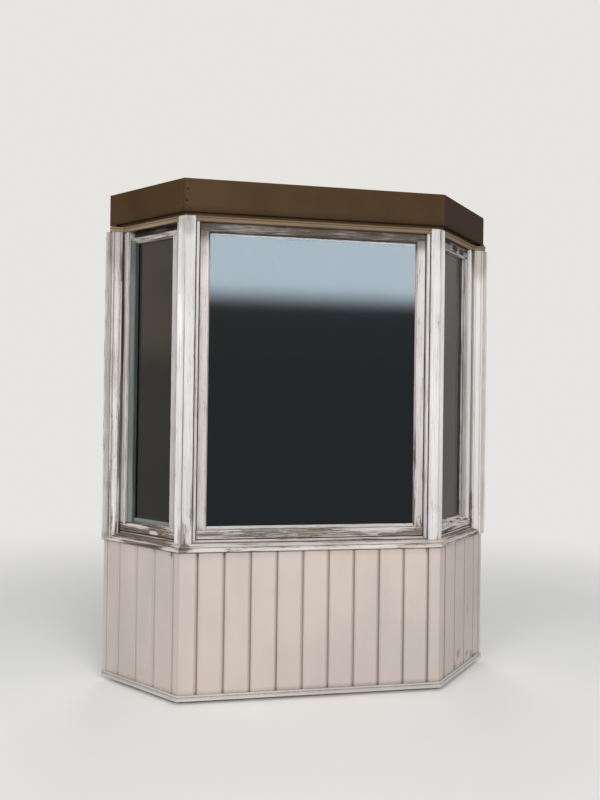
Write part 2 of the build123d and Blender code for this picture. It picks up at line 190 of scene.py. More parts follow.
# Studio
def seenDirectly(tree):
    # one for rays that show the background: camera, glossy and transmission rays
    path = put(tree, "ShaderNodeLightPath")
    both = maths(tree, "ADD", path.outputs["Is Camera Ray"], path.outputs["Is Glossy Ray"])
    return maths(tree, "ADD", both, path.outputs["Is Transmission Ray"], clamp=True)


def makeWorld(values):
    # the background where it is seen directly, and a weaker sky as light
    world = bpy.data.worlds.new("studioWorld")
    bpy.context.scene.world = world
    world.use_nodes = True
    tree = world.node_tree
    tree.nodes.clear()
    light = put(tree, "ShaderNodeBackground", {0: linear(values["skyColour"]), 1: values["skyStrength"]})
    shown = put(tree, "ShaderNodeBackground", {0: linear(values["background"]), 1: 1.0})
    inputs = {0: seenDirectly(tree), 1: light.outputs[0], 2: shown.outputs[0]}
    mixed = put(tree, "ShaderNodeMixShader", inputs)
    put(tree, "ShaderNodeOutputWorld", {"Surface": mixed.outputs[0]})


def makeSoftbox(name, place, aim, size, radiance, soft):
    # energy = radiance x area x pi; the light fades in over the lower part of the box
    data = bpy.data.lights.new(name, "AREA")
    data.shape = "RECTANGLE"
    data.size, data.size_y = size
    data.energy = radiance * size[0] * size[1] * math.pi
    data.color = linear(studio["lampColour"])[:3]
    data.use_nodes = True
    tree = data.node_tree
    tree.nodes.clear()
    across = put(tree, "ShaderNodeNewGeometry").outputs["Parametric"]
    upward = put(tree, "ShaderNodeSeparateXYZ", {0: across}).outputs["Y"]
    strength = rise(tree, upward, 0.0, soft)
    glow = put(tree, "ShaderNodeEmission", {"Color": (1, 1, 1, 1), "Strength": strength})
    put(tree, "ShaderNodeOutputLight", {"Surface": glow.outputs[0]})
    lamp = bpy.data.objects.new(name, data)
    away = Vector(place) - Vector(aim)
    lamp.rotation_euler = away.to_track_quat("Z", "Y").to_euler()
    lamp.location = place
    lamp.visible_camera = False
    bpy.context.scene.collection.objects.link(lamp)


def makeFloor(values):
    # a disc: point(r, a) = (r cos a, r sin a, 0), with a small ngon at its middle
    angles = np.linspace(0, 2 * np.pi, values["floorSides"], endpoint=False)
    radii = np.array(values["floorRings"])
    x = radii[:, None] * np.cos(angles)
    y = radii[:, None] * np.sin(angles)
    points = np.stack([x, y, np.zeros_like(x)], -1).reshape(-1, 3)
    quads, caps = ringFaces(len(radii), len(angles))
    mesh = bpy.data.meshes.new("studioFloor")
    mesh.from_pydata(points.tolist(), [], [*quads[:, ::-1].tolist(), caps[0, ::-1].tolist()])
    material, tree = startMaterial("floorPaint")
    reach = put(tree, "ShaderNodeVectorMath", {0: objectPlace(tree)}, operation="LENGTH").outputs["Value"]
    amount = times(tree, rise(tree, reach, *values["floorFade"]), seenDirectly(tree))
    near = put(tree, "ShaderNodeBsdfDiffuse", {"Color": linear(values["floor"])})
    glow = put(tree, "ShaderNodeEmission", {"Color": linear(values["background"]), "Strength": 1.0})
    mixed = put(tree, "ShaderNodeMixShader", {0: amount, 1: near.outputs[0], 2: glow.outputs[0]})
    put(tree, "ShaderNodeOutputMaterial", {"Surface": mixed.outputs[0]})
    mesh.materials.append(material)
    floor = bpy.data.objects.new("studioFloor", mesh)
    bpy.context.scene.collection.objects.link(floor)


bpy.context.scene.view_settings.view_transform = "Standard"
makeWorld(studio)
for boxName, box in softboxes.items():
    makeSoftbox(boxName, *box)
makeFloor(studio)
print("studio set")


# Shapes
slant = math.cos(math.radians(bayPlan["flankAngle"]))
miter = math.tan(math.radians(bayPlan["flankAngle"] / 2))
halfFront = bayPlan["frontWidth"] / 2
frontLine = -bayPlan["depth"] / 2
wallLine = bayPlan["depth"] / 2
wallReach = bayPlan["depth"] / slant
bayFaces = ("front", "left", "right")
flanks = {"left": -1, "right": 1}
barMesh = {
    "cornerShare": 0.4,  # the most of a side that a rounded corner takes
    "curvePoints": 4,
    "besideCorner": (2.5, 8.0),  # extra points close to a corner, kept on sides over 2.2 times as long
    "sideShare": 2.2,
    "clearOfCorner": 9.5,
    "edgeFade": 5.0,
    "besideEnd": (0.0, 2.0, 7.0, 16.0),  # extra rows close to an end
    "clearOfEnd": 1.4,
    "calmEnd": 8.0,
    "dentSize": (34.0, 15.0),
    "dentFrom": 0.15,
    "endFade": 14.0,
    "grainShift": 1.37,
    "sharpAngle": 38.0,
}
dentWaves = {"count": 5, "seedTurn": 1.7, "turn": 2.4, "growth": 0.83, "phase": 5.1}
spotEdge = {"gone": 1.3, "fade": 0.6}
indoorPaint = {"from": 88.0, "fade": 10.0, "wear": -0.09}
finishes = {}


def placeOn(face, along, inset, height):
    # front: x = along - half the front, y = front line + inset.
    # flanks: the same turned 45 degrees about the ridge, and mirrored on the left.
    along, inset, height = np.broadcast_arrays(along, inset, height)
    if face == "front":
        return np.stack([along - halfFront, frontLine + inset, height], -1)
    x = halfFront + (along - inset) * slant
    y = frontLine + (along + inset) * slant
    return np.stack([flanks[face] * x, y, height], -1)


def runOn(face):
    # the profile is inset and height, and the path runs along the face
    return lambda inset, height, path: placeOn(face, path, inset, height)


def standOn(face):
    # the profile is along and inset, and the path goes up
    return lambda along, inset, path: placeOn(face, along, inset, path)


def standAt(side):
    # the profile is x and y, mirrored when side is -1, and the path goes up
    return lambda x, y, path: np.stack(np.broadcast_arrays(side * x, y, path), -1)


def acrossWall(side):
    # the profile is y and height, and the path runs along the wall, mirrored when side is -1
    return lambda y, height, path: np.stack(np.broadcast_arrays(side * path, y, height), -1)


def insetAt(x, y):
    # the smaller distance behind the front line and behind the flank line
    behind = y - frontLine
    return np.minimum(behind, (behind - (np.abs(x) - halfFront)) * slant)


def behindFront(x, y):
    # the distance behind the front line
    return y - frontLine


def flankInset(along, inset):
    # on a flank's own plan the inset is known
    return inset


def heightOf(line, insetOf):
    # the height of the line of (inset, height) corners at a plan point's inset; its steps are 0.01 mm wide
    insets, heights = np.array(line, float).T
    insets[1:] += 0.01 * (np.diff(insets) == 0)
    return lambda first, second: np.interp(insetOf(first, second), insets, heights)


def waves(u, v, seed):
    # the mean of five sines of turned coordinates, between -1 and 1
    number = np.arange(dentWaves["count"])
    turns = seed * dentWaves["seedTurn"] + number * dentWaves["turn"]
    sizes = 1 + dentWaves["growth"] * number
    phases = seed * dentWaves["phase"] * (number + 1)
    inner = u[..., None] * np.cos(turns) + v[..., None] * np.sin(turns)
    return np.sin(inner * sizes + phases).mean(-1)


def roundedProfile(corners, rounding, spacing, creaseWidth):
    # Each corner becomes a curve: point(s) = (1-s)^2 before + 2 s (1-s) corner + s^2 after.
    # The straight runs between are divided, closer together beside the curves.
    # Edge and crease fade by exp(-distance / width) from the nearest outer and inner corner.
    corners = np.asarray(corners, float)
    count = len(corners)
    back = np.roll(corners, 1, 0) - corners
    ahead = np.roll(corners, -1, 0) - corners
    backLength = np.linalg.norm(back, axis=1, keepdims=True)
    aheadLength = np.linalg.norm(ahead, axis=1, keepdims=True)
    cut = np.minimum(rounding, barMesh["cornerShare"] * np.minimum(backLength, aheadLength))
    first = corners + back / backLength * cut
    last = corners + ahead / aheadLength * cut
    s = np.linspace(0, 1, barMesh["curvePoints"])[None, :, None]
    curves = (1 - s) ** 2 * first[:, None] + 2 * s * (1 - s) * corners[:, None] + s**2 * last[:, None]
    bits = []
    for number in range(count):
        run = first[(number + 1) % count] - last[number]
        length = np.linalg.norm(run)
        beside = np.array(barMesh["besideCorner"])
        beside = beside[beside < length / barMesh["sideShare"]]
        parts = max(1, int(length // spacing))
        even = np.arange(1, parts) * length / parts
        even = even[(even > barMesh["clearOfCorner"]) & (even < length - barMesh["clearOfCorner"])]
        at = np.unique(np.concatenate([beside, length - beside, even]))
        bits += [curves[number], last[number] + run * (at / length)[:, None]]
    profile = np.concatenate(bits)
    area = np.sum(corners[:, 0] * np.roll(corners[:, 1], -1) - corners[:, 1] * np.roll(corners[:, 0], -1))
    bend = (back[:, 1] * ahead[:, 0] - back[:, 0] * ahead[:, 1]) * np.sign(area)
    distance = np.linalg.norm(profile[:, None] - corners[None], axis=2)
    edge = np.exp(-np.where(bend > 0, distance, np.inf).min(1) / barMesh["edgeFade"])
    crease = np.exp(-np.where(bend < 0, distance, np.inf).min(1) / creaseWidth)
    steps = np.linalg.norm(np.roll(profile, -1, 0) - profile, axis=1)
    around = np.concatenate([[0.0], np.cumsum(steps)])
    return profile, around, edge, crease


def spots(points, patches):
    # the sum of soft ellipses, each given as x, z, half width, half height and strength
    if not patches:
        return np.zeros(len(points))
    table = np.asarray(patches, float)
    dx = (points[:, None, 0] * 1000 - table[None, :, 0]) / table[None, :, 2]
    dz = (points[:, None, 2] * 1000 - table[None, :, 1]) / table[None, :, 3]
    cover = np.clip((spotEdge["gone"] - np.hypot(dx, dz)) / spotEdge["fade"], 0, 1)
    return (cover * table[None, :, 4]).sum(1)


def isInsideOut(points, quads, caps):
    # the sum of a . (b x c) over all triangles is six times the volume, and negative when they face inwards
    fans = [np.stack([np.full(len(cap) - 2, cap[0]), cap[1:-1], cap[2:]], -1) for cap in caps]
    triangles = np.concatenate([quads[:, [0, 1, 2]], quads[:, [0, 2, 3]], *fans])
    corner = points[triangles] - points.mean(0)
    return np.einsum("ij,ij->i", corner[:, 0], np.cross(corner[:, 1], corner[:, 2])).sum() < 0


def carriedBar(corners, start, end, place, shape, seed):
    # point(v, k) = place(profile k, start k + v (end k - start k)), with closed ends;
    # start and end are lengths, or functions of the profile's two coordinates
    profile, around, edge, crease = roundedProfile(
        corners, shape["rounding"], shape["spacing"], shape["creaseWidth"])
    count = len(profile)
    startAt, endAt = (
        limit(profile[:, 0], profile[:, 1]) if callable(limit) else np.full(count, float(limit))
        for limit in (start, end)
    )
    length = float(np.mean(np.abs(endAt - startAt)))
    beside = np.array(barMesh["besideEnd"]) / length
    clear = beside[-1] * barMesh["clearOfEnd"]
    even = np.linspace(0, 1, max(2, int(length // shape["rowSpacing"])) + 1)
    even = even[(even > clear) & (even < 1 - clear)]
    v = np.unique(np.concatenate([beside, 1 - beside, even]))[:, None]
    path = startAt + v * (endAt - startAt)
    spread = np.broadcast_to(around[:-1], path.shape)
    toEnd = np.minimum(v, 1 - v) * length
    calm = np.clip(toEnd / barMesh["calmEnd"], 0, 1)
    dentLength, dentWidth = barMesh["dentSize"]
    dent = np.clip(waves(path / dentLength, spread / dentWidth, seed) - barMesh["dentFrom"], 0, 1)
    dent = dent * edge * shape["dents"] * calm
    inward = profile.mean(0) - profile
    inward = inward / np.linalg.norm(inward, axis=1, keepdims=True)
    section = profile[None] + dent[..., None] * inward[None]
    points = place(section[..., 0], section[..., 1], path).reshape(-1, 3) / 1000
    rows = len(v)
    quads, caps = ringFaces(rows, count)
    lengthwise = path.ravel() / 1000 + seed * barMesh["grainShift"]
    across = np.stack([around[:-1], around[1:], around[1:], around[:-1]], -1) / 1000
    quadUv = np.stack([lengthwise[quads], np.tile(across, (rows - 1, 1))], -1)
    capUv = np.stack([profile[::-1], profile]) / 1000
    if isInsideOut(points, quads, caps):
        quads, quadUv, caps, capUv = quads[:, ::-1], quadUv[:, ::-1], caps[:, ::-1], capUv[:, ::-1]
    endWear = np.exp(-toEnd / barMesh["endFade"]) * shape["endWear"]
    return {
        "points": points,
        "faces": [*quads.tolist(), *caps.tolist()],
        "uv": np.concatenate([quadUv.reshape(-1, 2), capUv.reshape(-1, 2)]),
        "edge": np.tile(edge, rows),
        "crease": np.tile(crease, rows),
        "wear": np.broadcast_to(endWear, path.shape).ravel(),
    }


def makePiece(name, bars, finish, slotName, nodes, wear=(), stainAndShade=(), fresh=()):
    # the bars joined into one mesh in that finish, with its grain UV map and its wear fields;
    # from 88 to 98 mm behind the bay's outline it becomes indoors, where the paint is whole
    mesh = bpy.data.meshes.new(name)
    points = np.concatenate([bar["points"] for bar in bars])
    starts = np.cumsum([0] + [len(bar["points"]) for bar in bars]).tolist()
    faces = [[corner + first for corner in face] for bar, first in zip(bars, starts) for face in bar["faces"]]
    mesh.from_pydata(points.tolist(), [], faces)
    grain = mesh.uv_layers.new(name="grain")
    grain.data.foreach_set("uv", np.concatenate([bar["uv"] for bar in bars]).ravel().astype(np.float32))
    fields = {key: np.concatenate([bar[key] for bar in bars]) for key in ("edge", "crease", "wear")}
    inset = insetAt(points[:, 0] * 1000, points[:, 1] * 1000)
    indoors = np.clip((inset - indoorPaint["from"]) / indoorPaint["fade"], 0, 1)
    fields["wear"] = (fields["wear"] + spots(points, wear)) * (1 - indoors) + indoorPaint["wear"] * indoors
    fields["stainAndShade"] = spots(points, stainAndShade) * (1 - indoors)
    fields["fresh"] = spots(points, fresh)
    for key, values in fields.items():
        layer = mesh.attributes.new(key, "FLOAT", "POINT")
        layer.data.foreach_set("value", values.astype(np.float32))
    mesh.polygons.foreach_set("use_smooth", np.ones(len(mesh.polygons), bool))
    mesh.set_sharp_from_angle(angle=math.radians(barMesh["sharpAngle"]))
    mesh.materials.append(finishes[finish])
    piece = bpy.data.objects.new(name, mesh)
    bpy.context.scene.collection.objects.link(piece)
    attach(piece, "root")
    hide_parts(*nodes)


# Painted and weathered wood
# joint is the colour of the painted shade and dirt in joints and recesses
bareWood = {
    "dark": (68, 58, 50), "mid": (122, 110, 99), "light": (178, 168, 158), "crack": (46, 39, 33),
    "joint": (62, 53, 45), "lip": (226, 222, 217),
}
# scales along, across and through the grain, detail, roughness, and distortion where there is any
woodPattern = {
    "broad": ((5.0, 62, 1), 4, 0.58, 0.25),
    "narrow": ((11.0, 190, 1), 5, 0.62),
    "fine": ((70, 420, 1), 4, 0.6),
    "lines": ((4.2, 560, 1), 5, 0.65),
    "bands": ((2.6, 130, 1), 4, 0.68),
    "streak": ((2.6, 150, 1), 4, 0.62),
    "thread": ((3.0, 300, 1), 3, 0.6),
    "speck": ((110, 240, 1), 3, 0.7),
    "crack": ((2.3, 95, 1), 3, 0.55),
}
paintCloud = ((3.1, 3.1, 2.3), 4, 0.5)
# where each smooth step begins and ends, and what it goes from and to
woodSteps = {
    "bare": (0.498, 0.512), "thin": (0.43, 0.5), "lip": (0.486, 0.498), "crack": (0.37, 0.48),
    "mid": (0.40, 0.51), "light": (0.52, 0.63), "streak": (0.50, 0.70), "thread": (0.55, 0.68),
    "cloud": (0.40, 0.70, 0.0, 0.35), "speck": (0.63, 0.74, 0.0, 0.5),
    "smearAndShade": (0.75, 1.15, 0.55, 1.0), "creaseGrimeAndShade": (0.3, 0.62, 0.4, 1.0),
}
lossShares = {"broad": 0.40, "narrow": 0.34, "fine": 0.14, "lines": 0.12}
woodToneShares = {"lines": 0.35, "bands": 0.65}
# what the looks share; a look names only what differs
woodBase = {
    "jointShadeAndDirt": 0.92, "pale": 0.0, "edgeLoss": 0.035, "streaks": 0.6, "lines": 0.6, "crackStart": 0.003,
    "crackWidth": 0.013, "cracks": 1.0, "creaseShadeAndDirt": 0.7, "thinAged": 0.7, "lipShow": 0.35,
    "roughness": 0.55, "bareRoughness": 0.32, "thinRoughness": 0.08, "bareHeight": -0.6, "crackHeight": -0.8,
    "lineHeight": 0.5, "fineHeight": 0.3, "bumpDepth": 0.0010, "gloss": 0.28,
}
woodLooks = {
    "post": {
        "paint": (203, 201, 199), "fresh": (246, 245, 244), "aged": (178, 173, 169), "dirtAndShade": (112, 104, 95),
        "stainAndShade": (82, 74, 66), "loss": -0.135, "pale": 0.42, "crackWidth": 0.014, "creaseShadeAndDirt": 0.6,
    },
    "leftCasing": {
        "paint": (216, 212, 209), "fresh": (232, 229, 226), "aged": (178, 170, 164), "dirtAndShade": (102, 92, 84),
        "stainAndShade": (118, 108, 99), "loss": -0.115, "jointShadeAndDirt": 0.5, "pale": 0.1, "edgeLoss": 0.05,
        "streaks": 0.7, "lines": 0.65, "crackWidth": 0.014, "creaseShadeAndDirt": 0.8,
    },
    "rightCasing": {
        "paint": (230, 227, 224), "fresh": (225, 223, 221), "aged": (208, 203, 199), "dirtAndShade": (150, 141, 132),
        "stainAndShade": (150, 138, 127), "loss": -0.165, "jointShadeAndDirt": 0.35, "pale": 0.1, "edgeLoss": 0.03,
        "streaks": 0.35, "lines": 0.3, "crackWidth": 0.010, "cracks": 0.6, "creaseShadeAndDirt": 0.6,
    },
    "window": {
        "paint": (203, 199, 196), "fresh": (224, 221, 218), "aged": (166, 158, 152), "dirtAndShade": (104, 94, 86),
        "stainAndShade": (74, 63, 53), "loss": -0.110, "pale": 0.2, "cracks": 0.9,
    },
    "spacer": {
        "paint": (205, 201, 198), "fresh": (226, 223, 220), "aged": (168, 160, 154), "dirtAndShade": (98, 89, 81),
        "stainAndShade": (84, 80, 73), "loss": -0.105, "jointShadeAndDirt": 0.5, "pale": 0.1, "edgeLoss": 0.04,
    },
    "sash": {
        "paint": (100, 112, 108), "fresh": (146, 162, 157), "aged": (118, 124, 119), "dirtAndShade": (56, 61, 57),
        "stainAndShade": (44, 51, 48), "loss": -0.150, "jointShadeAndDirt": 0.4, "edgeLoss": 0.02, "streaks": 0.5,
        "lines": 0.4, "crackWidth": 0.010, "cracks": 0.5, "creaseShadeAndDirt": 0.6,
    },
    "sashRail": {
        "paint": (216, 210, 205), "fresh": (224, 219, 214), "aged": (160, 151, 143), "dirtAndShade": (92, 83, 74),
        "stainAndShade": (46, 34, 22), "loss": -0.030, "edgeLoss": 0.02, "streaks": 0.7, "crackWidth": 0.022,
    },
    "sill": {
        "paint": (217, 209, 202), "fresh": (230, 223, 216), "aged": (174, 163, 153), "dirtAndShade": (104, 94, 84),
        "stainAndShade": (78, 67, 56), "loss": -0.095, "pale": 0.05, "edgeLoss": 0.03, "streaks": 0.45,
        "lines": 0.35, "crackWidth": 0.018, "creaseShadeAndDirt": 0.9,
    },
    "moulding": {
        "paint": (132, 110, 84), "fresh": (162, 141, 116), "aged": (106, 87, 65), "dirtAndShade": (56, 44, 33),
        "stainAndShade": (132, 121, 68), "loss": -0.150, "edgeLoss": 0.0, "streaks": 0.7, "crackWidth": 0.012,
        "cracks": 0.7, "creaseShadeAndDirt": 0.9,
    },
}


def jointShadeAndDirt(tree, strength):
    # painted shade and dirt where another surface is closer than 14 mm: one minus the open share of the sky
    # there
    openShare = put(tree, "ShaderNodeAmbientOcclusion", {"Distance": 0.014}, samples=6).outputs["AO"]
    return rise(tree, openShare, 0.25, 0.82, strength, 0.0)


def weatheredPaint(name, look):
    # score = streaks + grain + edge share + wear + loss, and bare wood shows where it passes a half
    material, tree = startMaterial(name)
    grain = put(tree, "ShaderNodeUVMap", uv_map="grain").outputs[0]
    edge, crease, wear = (field(tree, key) for key in ("edge", "crease", "wear"))
    stainAndShade, fresh = field(tree, "stainAndShade"), field(tree, "fresh")
    pattern = {key: noise(tree, grain, *values) for key, values in woodPattern.items()}
    cloud = noise(tree, objectPlace(tree), *paintCloud)
    shadow = linear(np.add(look["aged"], look["dirtAndShade"]) / 2)
    look, wood = linearLook(look), linearLook(bareWood)

    def step(key, value, *outcome):
        # the smooth step of that name
        return rise(tree, value, *woodSteps[key], *outcome)

    shares = [(pattern[key], share) for key, share in lossShares.items()]
    score = total(tree, weighted(tree, *shares, (edge, look["edgeLoss"])), wear, look["loss"])
    bare, thin = step("bare", score), step("thin", score)
    lip = maths(tree, "SUBTRACT", step("lip", score), bare, clamp=True)
    woodTone = weighted(tree, *((pattern[key], share) for key, share in woodToneShares.items()))
    timber = layered(
        tree, wood["dark"], (step("mid", woodTone), wood["mid"]), (step("light", woodTone), wood["light"]),
        (look["pale"], wood["light"]),
    )
    crackAt = maths(tree, "ABSOLUTE", maths(tree, "SUBTRACT", pattern["crack"], 0.5))
    crack = rise(tree, crackAt, look["crackStart"], look["crackWidth"], 1.0, 0.0)
    crack = times(tree, times(tree, crack, step("crack", score)), look["cracks"], clamp=True)
    # stains, and painted shade where the stain marks are placed as shade
    smearAndShade = times(tree, stainAndShade, step("smearAndShade", total(tree, pattern["narrow"], cloud)), clamp=True)
    # painted shade and dirt in the profile's inner corners
    creaseGrimeAndShade = times(tree, crease, step("creaseGrimeAndShade", pattern["fine"]))
    colour = layered(
        tree, look["paint"],
        (times(tree, fresh, 1.0, clamp=True), look["fresh"]),
        (step("cloud", cloud), look["aged"]),
        (step("streak", pattern["streak"], 0.0, look["streaks"]), look["aged"]),
        (step("thread", pattern["thread"], 0.0, look["lines"]), shadow),
        (step("speck", pattern["speck"]), look["dirtAndShade"]),
        (times(tree, thin, look["thinAged"]), look["aged"]),
        (times(tree, lip, look["lipShow"]), wood["lip"]),
        (bare, timber),
        (smearAndShade, look["stainAndShade"]),
        (crack, wood["crack"]),
        (times(tree, creaseGrimeAndShade, look["creaseShadeAndDirt"], clamp=True), look["dirtAndShade"]),
        # painted shade and dirt in joints and recesses
        (jointShadeAndDirt(tree, look["jointShadeAndDirt"]), wood["joint"]),
    )
    rougher = times(tree, bare, look["bareRoughness"]), times(tree, thin, look["thinRoughness"])
    roughness = total(tree, look["roughness"], *rougher)
    height = weighted(
        tree, (bare, look["bareHeight"]), (crack, look["crackHeight"]),
        (pattern["lines"], look["lineHeight"]), (pattern["fine"], look["fineHeight"]),
    )
    finishMaterial(tree, colour, roughness, height, look["bumpDepth"], Specular_IOR_Level=look["gloss"])
    return material


for name, look in woodLooks.items():
    finishes[name] = weatheredPaint(name + "Paint", {**woodBase, **look})

# Coated metal
metalPattern = {
    "cloud": ((2.6, 2.6, 1.7), 5, 0.55),
    "streak": ((46, 46, 1.3), 4, 0.6),
    "fine": ((210, 210, 150), 3, 0.7),
}
metalSteps = {
    "faded": (0.36, 0.66), "streak": (0.5, 0.75), "creaseGrimeAndShade": (0.3, 0.6, 0.6, 1.0),
    "speck": (0.68, 0.78, 0.0, 0.35), "stainAndShade": (0.45, 0.95, 0.45, 1.0),
}
metalBase = {
    "jointShadeAndDirt": 0.6, "edgeHighlightGain": 1.25, "finePatch": 0.4, "roughness": 0.52, "cloudRoughness": 0.16,
    "grimeRoughness": 0.2, "fineHeight": 0.06, "cloudHeight": 1.0, "bumpDepth": 0.0015,
}
metalLooks = {
    "siding": {
        "coat": (201, 188, 179), "faded": (191, 180, 172), "dirtAndShade": (122, 111, 101), "stainAndShade": (100, 82, 63),
        "streaks": 0.35, "creaseShadeAndDirt": 1.0, "edgeHighlight": 0.25, "gloss": 0.25,
    },
    "trim": {
        "coat": (203, 199, 194), "faded": (188, 183, 177), "dirtAndShade": (116, 107, 97), "stainAndShade": (84, 74, 62),
        "streaks": 0.4, "creaseShadeAndDirt": 0.9, "edgeHighlight": 0.15, "gloss": 0.25,
    },
    # the frieze's brown coat colours are darkened further by painted shade of the eave over it
    "frieze": {
        "coat": (60, 43, 23), "faded": (70, 53, 33), "dirtAndShade": (34, 24, 14), "stainAndShade": (28, 19, 11),
        "streaks": 0.12, "creaseShadeAndDirt": 0.7, "edgeHighlight": 0.2, "gloss": 0.08,
    },
}


def coatedMetal(name, look):
    # the coat fades in clouds and streaks; dirt and painted shade gather in the creases and joints, the outer
    # edges get a painted highlight, and stains and painted shade follow the stain field
    material, tree = startMaterial(name)
    place = objectPlace(tree)
    edge, crease, stainAndShade = (field(tree, key) for key in ("edge", "crease", "stainAndShade"))
    cloud, streak, fine = (noise(tree, place, *metalPattern[key]) for key in ("cloud", "streak", "fine"))
    look = linearLook(look)
    highlightColour = np.minimum(np.array(look["coat"][:3]) * look["edgeHighlightGain"], 1.0)
    creaseGrimeAndShade = times(tree, crease, rise(tree, streak, *metalSteps["creaseGrimeAndShade"]))
    patchy = total(tree, cloud, times(tree, fine, look["finePatch"]))
    colour = layered(
        tree, look["coat"],
        (rise(tree, cloud, *metalSteps["faded"]), look["faded"]),
        (rise(tree, streak, *metalSteps["streak"], 0.0, look["streaks"]), look["faded"]),
        # a painted highlight on the outer edges
        (times(tree, edge, look["edgeHighlight"]), (*highlightColour.tolist(), 1.0)),
        # painted shade and dirt in the creases
        (times(tree, creaseGrimeAndShade, look["creaseShadeAndDirt"], clamp=True), look["dirtAndShade"]),
        (rise(tree, fine, *metalSteps["speck"]), look["dirtAndShade"]),
        # stains, and painted shade where the stain marks are placed as shade
        (times(tree, stainAndShade, rise(tree, patchy, *metalSteps["stainAndShade"]), clamp=True), look["stainAndShade"]),
        # painted shade and dirt in joints and recesses
        (jointShadeAndDirt(tree, look["jointShadeAndDirt"]), look["stainAndShade"]),
    )
    rougher = times(tree, cloud, look["cloudRoughness"]), times(tree, creaseGrimeAndShade, look["grimeRoughness"])
    roughness = total(tree, look["roughness"], *rougher)
    height = weighted(tree, (fine, look["fineHeight"]), (cloud, look["cloudHeight"]))
    finishMaterial(tree, colour, roughness, height, look["bumpDepth"], Specular_IOR_Level=look["gloss"])
    return material


for name, look in metalLooks.items():
    finishes[name] = coatedMetal(name + "Coat", {**metalBase, **look})
print("finishes made")

# How finely a bar is divided and how worn it is; a piece names only what differs.
# Its wear, stain and fresh marks are soft ellipses: x, z, half width, half height and strength; the stain
# marks hold real stains and painted shade.
woodBar = {
    "rounding": 1.6, "spacing": 16.0, "rowSpacing": 24.0, "dents": 0.8, "endWear": 0.04, "creaseWidth": 4.0,
}
metalBar = {**woodBar, "rowSpacing": 30.0, "dents": 0.0, "endWear": 0.0}
hiddenGap = 0.7

# Sill
sill = {
    **woodBar, "rounding": 2.0, "spacing": 22.0, "dents": 1.2, "endWear": 0.02,
    "top": [(0, 736), (2, 738), (38, 753.05), (38, 756.05), (57, 764)],
    "rest": [(133, 764), (133, 716), (0, 716)],
    # the dark lines at the sill's step and at its foot are painted shade; the one at the nose is a darker
    # line along it
    "stainAndShade": [(0, 754.6, 1400, 2.0, 1.8), (0, 738, 1400, 1.6, 0.7), (0, 715.5, 1400, 2.2, 1.6)],
    "wear": {
        "front": [(-626, 735, 28, 26, 0.16), (300, 752, 420, 8, 0.06), (-200, 728, 300, 5, 0.03)],
        "left": [(-965, 722, 34, 9, -0.2), (-690, 726, 26, 9, -0.14), (-850, 738, 170, 26, 0.15),
                 (-930, 752, 80, 10, 0.1), (-800, 724, 90, 9, 0.05), (-900, 726, 30, 8, 0.07),
                 (-850, 760, 170, 3, -0.22), (-850, 737, 170, 2.5, -0.2)],
        "right": [(850, 746, 180, 8, 0.13), (760, 726, 120, 9, 0.09), (900, 726, 110, 8, 0.09),
                  (980, 740, 30, 24, 0.1), (850, 737, 170, 2.5, -0.15)],
    },
}
sillSection = [sill["rest"][2], *sill["top"], *sill["rest"][:2]]


def miterStart(inset, height):
    # along = miter x inset
    return miter * inset


def miterEnd(inset, height):
    # along = front width - miter x inset
    return bayPlan["frontWidth"] - miter * inset


def wallEnd(inset, height):
    # along = reach of the wall line - inset
    return wallReach - inset


def shortWallEnd(inset, height):
    # just inside the wall line, behind what covers it
    return wallReach - inset - hiddenGap


def bayRun(section, face, shape, seed):
    # a mitered length along one face
    end = miterEnd if face == "front" else wallEnd
    return carriedBar(section, miterStart, end, runOn(face), shape, seed)


for number, face in enumerate(bayFaces):
    bar = bayRun(sillSection, face, sill, 1 + number)
    makePiece(face + "Sill", [bar], "sill", "sill_paint", [face + "_sill"], sill["wear"][face], sill["stainAndShade"])
print("sills made")

# Corner posts
post = {
    **woodBar, "rounding": 3.5, "dents": 1.4, "endWear": 0.05,
    "inset": 30.0, "back": 115.0, "face": 49.0, "top": 2318.0,
    "left": {
        "wear": [(-624, 800, 26, 80, 0.145), (-668, 790, 12, 60, 0.06), (-592, 940, 4, 110, 0.10)],
        "fresh": [(-672, 1450, 30, 850, 1.0), (-618, 1350, 26, 420, 0.35), (-650, 800, 60, 90, 0.3)],
        # painted shade at the post's top, and a dark line up its corner
        "stainAndShade": [(-637.6, 1330, 2.2, 720, 0.9), (-622, 2270, 26, 50, 0.42), (-665, 2290, 20, 26, 0.25)],
    },
    "right": {
        "wear": [(620, 782, 34, 30, 0.02), (636, 2262, 4, 60, 0.12)],
        "fresh": [(672, 1500, 30, 950, 1.0), (615, 1400, 26, 600, 0.35), (625, 800, 60, 90, 0.45)],
        # painted shade at the post's top, and dark lines up its corner
        "stainAndShade": [(637.6, 2230, 2.5, 130, 1.0), (637.6, 1300, 1.8, 800, 0.35), (640, 2260, 60, 40, 0.15)],
    },
}
openingHalf = halfFront - miter * post["inset"] - post["face"]
openingStart = miter * post["inset"] + post["face"]
postPlan = [
    (openingHalf, frontLine + post["inset"]),
    (halfFront - miter * post["inset"], frontLine + post["inset"]),
    tuple(placeOn("right", openingStart, post["inset"], 0)[:2]),
    tuple(placeOn("right", openingStart, post["back"], 0)[:2]),
    (halfFront - miter * post["back"], frontLine + post["back"]),
    (openingHalf, frontLine + post["back"]),
]
for face, side in flanks.items():
    bar = carriedBar(postPlan, heightOf(sill["top"], insetAt), post["top"], standAt(side), post, 5 + side)
    makePiece(face + "Post", [bar], "post", "post_paint", [face + "_corner_post"], **post[face])
print("posts made")

